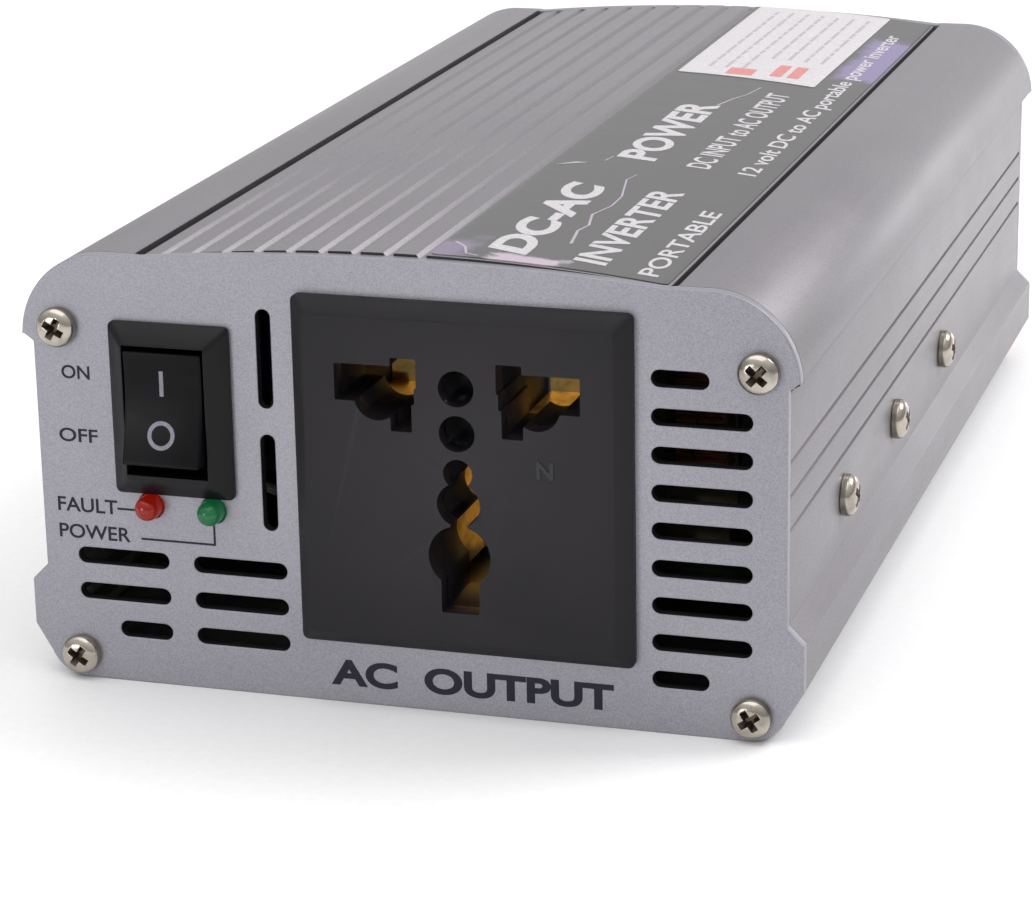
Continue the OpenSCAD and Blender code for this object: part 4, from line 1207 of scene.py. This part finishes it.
def label():
    lo, hi = low("top_label"), high("top_label")
    base = film("top_label_film", lo.x, hi.x, lo.y, hi.y, 0.02, 0.14, 0.8)
    finish(base, LABEL, nodes=["top_label"])
    lift = 0.155
    for name, body, x, y0, y1, height, bold, italic in (
            ("label_word_a", "DC-AC", 11.4, 5, 41, 5.2, 0.45, 0.2),
            ("label_word_b", "INVERTER", 21.3, 5, 41.5, 4.0, 0.25, 0.1),
            ("label_word_c", "PORTABLE", 28.4, 4, 35, 2.4, 0.14, 0),
            ("label_word_d", "POWER", 13.1, 55.4, 91, 5.3, 0.32, 0.1),
            ("label_word_e", "DC INPUT to AC OUTPUT", 21.4, 55, 102.5, 3.1, 0.16, 0),
            ("label_word_f", "12 volt DC to AC portable power inverter", 28.1, 55, 152.5, 3.1, 0.16, 0)):
        label_text(name, body, x, y0, y1, height, lift, bold, italic)
    bolt("label_bolt_a", [(4.4, 49), (6.4, 51.3), (8, 51.3), (9.8, 53.2), (10.2, 56)], lift)
    bolt("label_bolt_b", [(17.2, 12), (16.3, 18), (16.8, 21), (15.8, 26), (16.8, 31), (16.7, 36),
                          (15, 44.5), (15.5, 47.5)], lift)
    bolt("label_bolt_c", [(4.6, 8), (6.4, 6), (7.4, 3.2), (9, 2.6)], lift)
    bolt("label_bolt_d", [(15.2, 91), (16.2, 96), (17.4, 100), (18, 105)], lift)
    sticker()


def bolt(name, points, lift):
    """A thin pale jagged line that tapers to its far end."""
    left, right = [], []
    for i, (x, y) in enumerate(points):
        w = 0.16 * (1 - 0.6 * i / len(points))
        left.append((x - w, y))
        right.append((x + w, y + 0.2))
    obj = sheet_shape(name, [left + list(reversed(right))], 0.02, 0)
    finish(on_crown(divided(obj), lift), BOLT_INK)


def sticker():
    lo, hi = low("info_sticker"), high("info_sticker")
    near = lo.y - 4.5
    quad = [(lo.x + 0.7, near + 1), (lo.x + 0.5, hi.y), (hi.x, hi.y), (hi.x - 0.3, near - 0.6)]
    base = sheet_shape("info_sticker_film", [rounded(quad, 0.5, 3)], 0.08, 0.02, 1)
    on_crown(divided(base), 0.20)
    finish(base, STICKER, nodes=["info_sticker"])
    bars = []
    random.seed(11)
    for row in range(7):
        x = lo.x + 4.2 + row * 2.4
        y = near + (15 if row > 2 else 6)
        while y < hi.y - 5:
            run = random.uniform(2.0, 6.5)
            end = min(y + run, hi.y - 4)
            bars.append(rectangle(x, (y + end) / 2, 0.5, end - y, 0.15))
            y = end + 0.9
    print_lift = 0.252
    lines = sheet_shape("sticker_lines", bars, 0.02, 0)
    finish(on_crown(lines, print_lift), STICKER_INK)
    y = near + 4
    places = [(9.3, 0, 3.8, 4.4), (14.4, 3, 1.7, 8), (16.9, 3, 1.7, 8)]
    blocks = [rectangle(lo.x + x, y + along, wide, long, 0.3) for x, along, wide, long in places]
    blocks = sheet_shape("sticker_blocks", blocks, 0.02, 0)
    finish(on_crown(blocks, print_lift), STICKER_RED)


# ---- rear: fan and terminals ----

def fan():
    centre = joint_place("fan_spin")
    lo, hi = low("fan_frame"), high("fan_frame")
    place = shift(centre.x, 0, centre.z)
    bolts = [circle(i * BOLT_AT, j * BOLT_AT, 1.6, 24) for i in (-1, 1) for j in (-1, 1)]
    square = rectangle(0, 0, 40, 40, 2.6)
    throat = circle(0, 0, 18.9, 96)
    parts = [panel_shape("f", [square, throat] + bolts, lo.y, lo.y + 3.5, 0.2, 2),
             panel_shape("f", [square, throat] + bolts, hi.y - 3.5, hi.y, 0.2, 2),
             panel_shape("f", [circle(0, 0, 19.95, 96), throat], lo.y + 3.4, hi.y - 3.4, 0)]
    for i in (-1, 1):
        for j in (-1, 1):
            x, z = i * BOLT_AT, j * BOLT_AT
            pillar = [circle(x, z, 3.2, 32), circle(x, z, 1.6, 24)]
            parts.append(panel_shape("f", pillar, lo.y + 3.4, hi.y - 3.4, 0))
    parts.append(ring("f", [(3.0, lo.y), (11.0, lo.y), (11.2, lo.y + 0.3), (11.2, lo.y + 2),
                            (3.0, lo.y + 2)], 64))
    parts.append(ring("f", [(1.56, lo.y + 1), (3.6, lo.y + 1), (3.6, lo.y + 14), (1.56, lo.y + 14)], 48))
    for a in range(0, 360, 90):
        spoke = soften(box_mesh("f", 10, 19.2, lo.y, lo.y + 2, -1.2, 1.2), 0.2, 2)
        parts.append(moved(spoke, turn(a, "Y")))
    frame_body = joined("fan_frame_body", parts)
    finish(moved(frame_body, place), FAN, nodes=["fan_frame"])
    finish(moved(fan_wheel(), place), FAN, "fan_wheel", ["fan_rotor"], angle=38)


def fan_wheel():
    """Hub, shaft and seven curved blades."""
    lo, hi = low("fan_rotor"), high("fan_rotor")
    front, back = low("fan_frame").y + 3, hi.y
    hub_r, tip_r, count = 11.5, 18.1, 7
    hub = ring("h", [(hub_r - 1.3, front), (hub_r, front), (hub_r, back - 0.8), (hub_r - 0.8, back),
                     (5, back), (4.6, back - 0.2), (1.6, back - 0.2), (1.4, back - 1.5),
                     (hub_r - 1.3, back - 1.5)], 72)
    shaft = lathe("s", [(0, lo.y), (1.35, lo.y), (1.5, lo.y + 0.15), (1.5, back - 1), (0, back - 1)], 32)
    parts = [hub, shaft]
    across, along, thick = 9, 12, 0.55
    for b in range(count):
        verts, faces = [], []
        for side in (-1, 1):
            for i in range(across + 1):
                r = hub_r - 0.5 + (tip_r - hub_r + 0.5) * i / across
                sweep = 10 * (i / across) ** 1.5
                for j in range(along + 1):
                    t = j / along
                    y = front + 0.8 + (back - front - 1.6) * t
                    bow = 17 * (t - 0.5) + 5 * math.sin(math.pi * t)
                    a = math.radians(b * 360 / count + bow * 1.25 + sweep)
                    edge = math.sin(math.pi * t) ** 0.5
                    a += side * thick * (0.35 + 0.65 * edge) / 2 / r
                    verts.append((r * math.cos(a), y, r * math.sin(a)))
        row, block = along + 1, (across + 1) * (along + 1)
        for i in range(across):
            for j in range(along):
                p = i * row + j
                faces.append((p, p + row, p + row + 1, p + 1))
                q = p + block
                faces.append((q, q + 1, q + row + 1, q + row))
        rim = [i * row for i in range(across + 1)] + [across * row + j for j in range(1, along + 1)]
        rim += [i * row + along for i in range(across - 1, -1, -1)] + list(range(along - 1, 0, -1))
        for p, q in zip(rim, rim[1:] + rim[:1]):
            faces.append((p, p + block, q + block, q))
        parts.append(solid("b", verts, faces, 1e-5))
    return joined("fan_wheel_body", parts)


def hex_nut(name, r, bore, y0, y1):
    """A nut with bevelled edges."""
    return panel_shape(name, [arc(0, 0, r, 0, 300, 5), circle(0, 0, bore, 40)], y0, y1, 0.1, 1)


def terminals():
    terminal("positive", RED_KNOB)
    terminal("negative", BLACK_KNOB)
    studs = []
    lo, hi = low("terminal_studs"), high("terminal_studs")
    free = high("positive_knob").y
    profile = [(0, lo.y), (2.6, lo.y)]
    pitch = 1.0
    y = lo.y + 0.3
    while y < free - pitch:
        profile += [(2.68, y), (2.98, y + pitch / 2)]
        y += pitch
    profile += [(2.6, y), (2.6, hi.y - 0.35), (2.3, hi.y), (0, hi.y)]
    for side in ("positive", "negative"):
        c = middle(side + "_knob")
        studs.append(moved(lathe("s", profile, 48), shift(c.x, 0, c.z)))
    finish(joined("terminal_stud_bars", studs), BRASS, nodes=["terminal_studs"])
    nuts = []
    for side in ("positive", "negative"):
        c = middle(side + "_knob")
        for y in (low("terminal_nuts").y, high("terminal_nuts").y - 5):
            nuts.append(moved(hex_nut("n", 5.77, BORE_R, y, y + 5), shift(c.x, 0, c.z)))
    finish(joined("terminal_hex_nuts", nuts), NICKEL, nodes=["terminal_nuts"])


def terminal(side, plastic):
    """Collar, washer and fluted knob of one DC terminal."""
    knob_lo, knob_hi = low(side + "_knob"), high(side + "_knob")
    centre = middle(side + "_knob")
    place = shift(centre.x, 0, centre.z)
    collar_end = high(side + "_collar").y
    collar = ring(side + "_collar_body", [
        (BORE_R, REAR_Y), (4.95, REAR_Y), (4.95, CASE_L), (8.8, CASE_L), (9.0, CASE_L + 0.2),
        (9.0, collar_end - 0.7), (8.4, collar_end - 0.1), (7.6, collar_end), (BORE_R, collar_end)], 96)
    finish(moved(collar, place), plastic, nodes=[side + "_collar"])
    w0, w1 = low(side + "_washer").y, high(side + "_washer").y
    washer = ring(side + "_washer_body", [
        (BORE_R, w0), (6.85, w0), (7.0, w0 + 0.15), (7.0, w1 - 0.15), (6.85, w1), (BORE_R, w1)], 80)
    finish(moved(washer, place), NICKEL, side + "_washer_body", [side + "_washer"])
    r = 8.0
    flutes = 12
    skirt_end = knob_lo.y + 3.3
    y = knob_lo.y
    grip = panel_shape("k", [fluted(r, 0.75, flutes), circle(0, 0, BORE_R, 48)],
                       skirt_end - 0.2, knob_hi.y, 0.35, 3)
    skirt = ring("k", [(BORE_R, y), (6.7, y), (6.8, y + 0.1), (6.8, y + 1.6), (7.8, y + 2), (r, y + 2.3),
                       (r, skirt_end - 0.3), (7.8, skirt_end), (BORE_R, skirt_end)], 96)
    knob = joined(side + "_knob_grip", [grip, skirt])
    finish(moved(knob, place), plastic, side + "_knob_body", [side + "_knob"])
    y = knob_hi.y
    insert = ring(side + "_knob_insert", [(BORE_R, y - 6), (4.4, y - 6), (4.4, y - 0.02), (4.25, y),
                                          (3.2, y), (BORE_R, y - 0.15)], 48)
    finish(moved(insert, place), BRASS, side + "_knob_body")
    polarity_mark(side, centre)


def fluted(r, depth, count):
    """A round outline with shallow hollows for the fingers."""
    points = []
    steps = count * 16
    for i in range(steps):
        a = 2 * math.pi * i / steps
        wave = 0.5 - 0.5 * math.cos(count * a)
        points.append(((r - depth * wave ** 3) * math.cos(a), (r - depth * wave ** 3) * math.sin(a)))
    return points


def polarity_mark(side, centre):
    """Plus or minus on the rear plate above each terminal."""
    x, z = centre.x, centre.z + 14
    bars = [rectangle(x, z, 4, 0.9)]
    if side == "positive":
        bars = [[(x + a, z + b) for a, b in (
            (0.45, 0.45), (2, 0.45), (2, -0.45), (0.45, -0.45), (0.45, -2), (-0.45, -2),
            (-0.45, -0.45), (-2, -0.45), (-2, 0.45), (-0.45, 0.45), (-0.45, 2), (0.45, 2))]]
    finish(panel_shape(side + "_mark", bars, CASE_L - 0.003, CASE_L + 0.027, 0), DARK_INK)


# ---- what stays as the CAD gives it ----

CAD_LOOKS = {
    ALUMINIUM: ["clamp_bars"],
    PAD: ["insulating_pads"],
    CHIP: ["power_transistors", "control_chips", "buzzer"],
    NICKEL: ["switch_plunger", "outlet_screws", "fan_nuts"],
    BRASS: ["switch_seesaw", "switch_terminals", "live_contact", "neutral_contact", "earth_contact"],
    COVER: ["outlet_back_cover"],
    BOARD: ["main_board", "control_board"],
    FERRITE: ["transformer_cores", "choke_core"],
    BOBBIN: ["transformer_bobbins"],
    WINDING: ["transformer_windings", "choke_winding", "fan_stator"],
    SLEEVE: ["input_capacitors", "high_voltage_capacitor"],
    FUSE: ["blade_fuses"],
    IVORY: ["inner_insulators"],
    COPPER: ["dc_busbars"],
    RED_WIRE: ["outlet_wires", "fan_wires"],
    YELLOW_WIRE: ["switch_wires"],
    WHITE_WIRE: ["lamp_wires"],
}


def cad_materials():
    for material, names in CAD_LOOKS.items():
        for name in names:
            data = frame["nodes"][name].data
            data.materials.clear()
            data.materials.append(material)


camera()
studio()
floor()
base_extrusion()
top_extrusion()
front_plate()
rear_plate()
screws()
outlet()
switch()
lamp("fault_lamp", "lamp_red", RED_LENS)
lamp("power_lamp", "lamp_green", GREEN_LENS)
legends()
label()
fan()
terminals()
cad_materials()
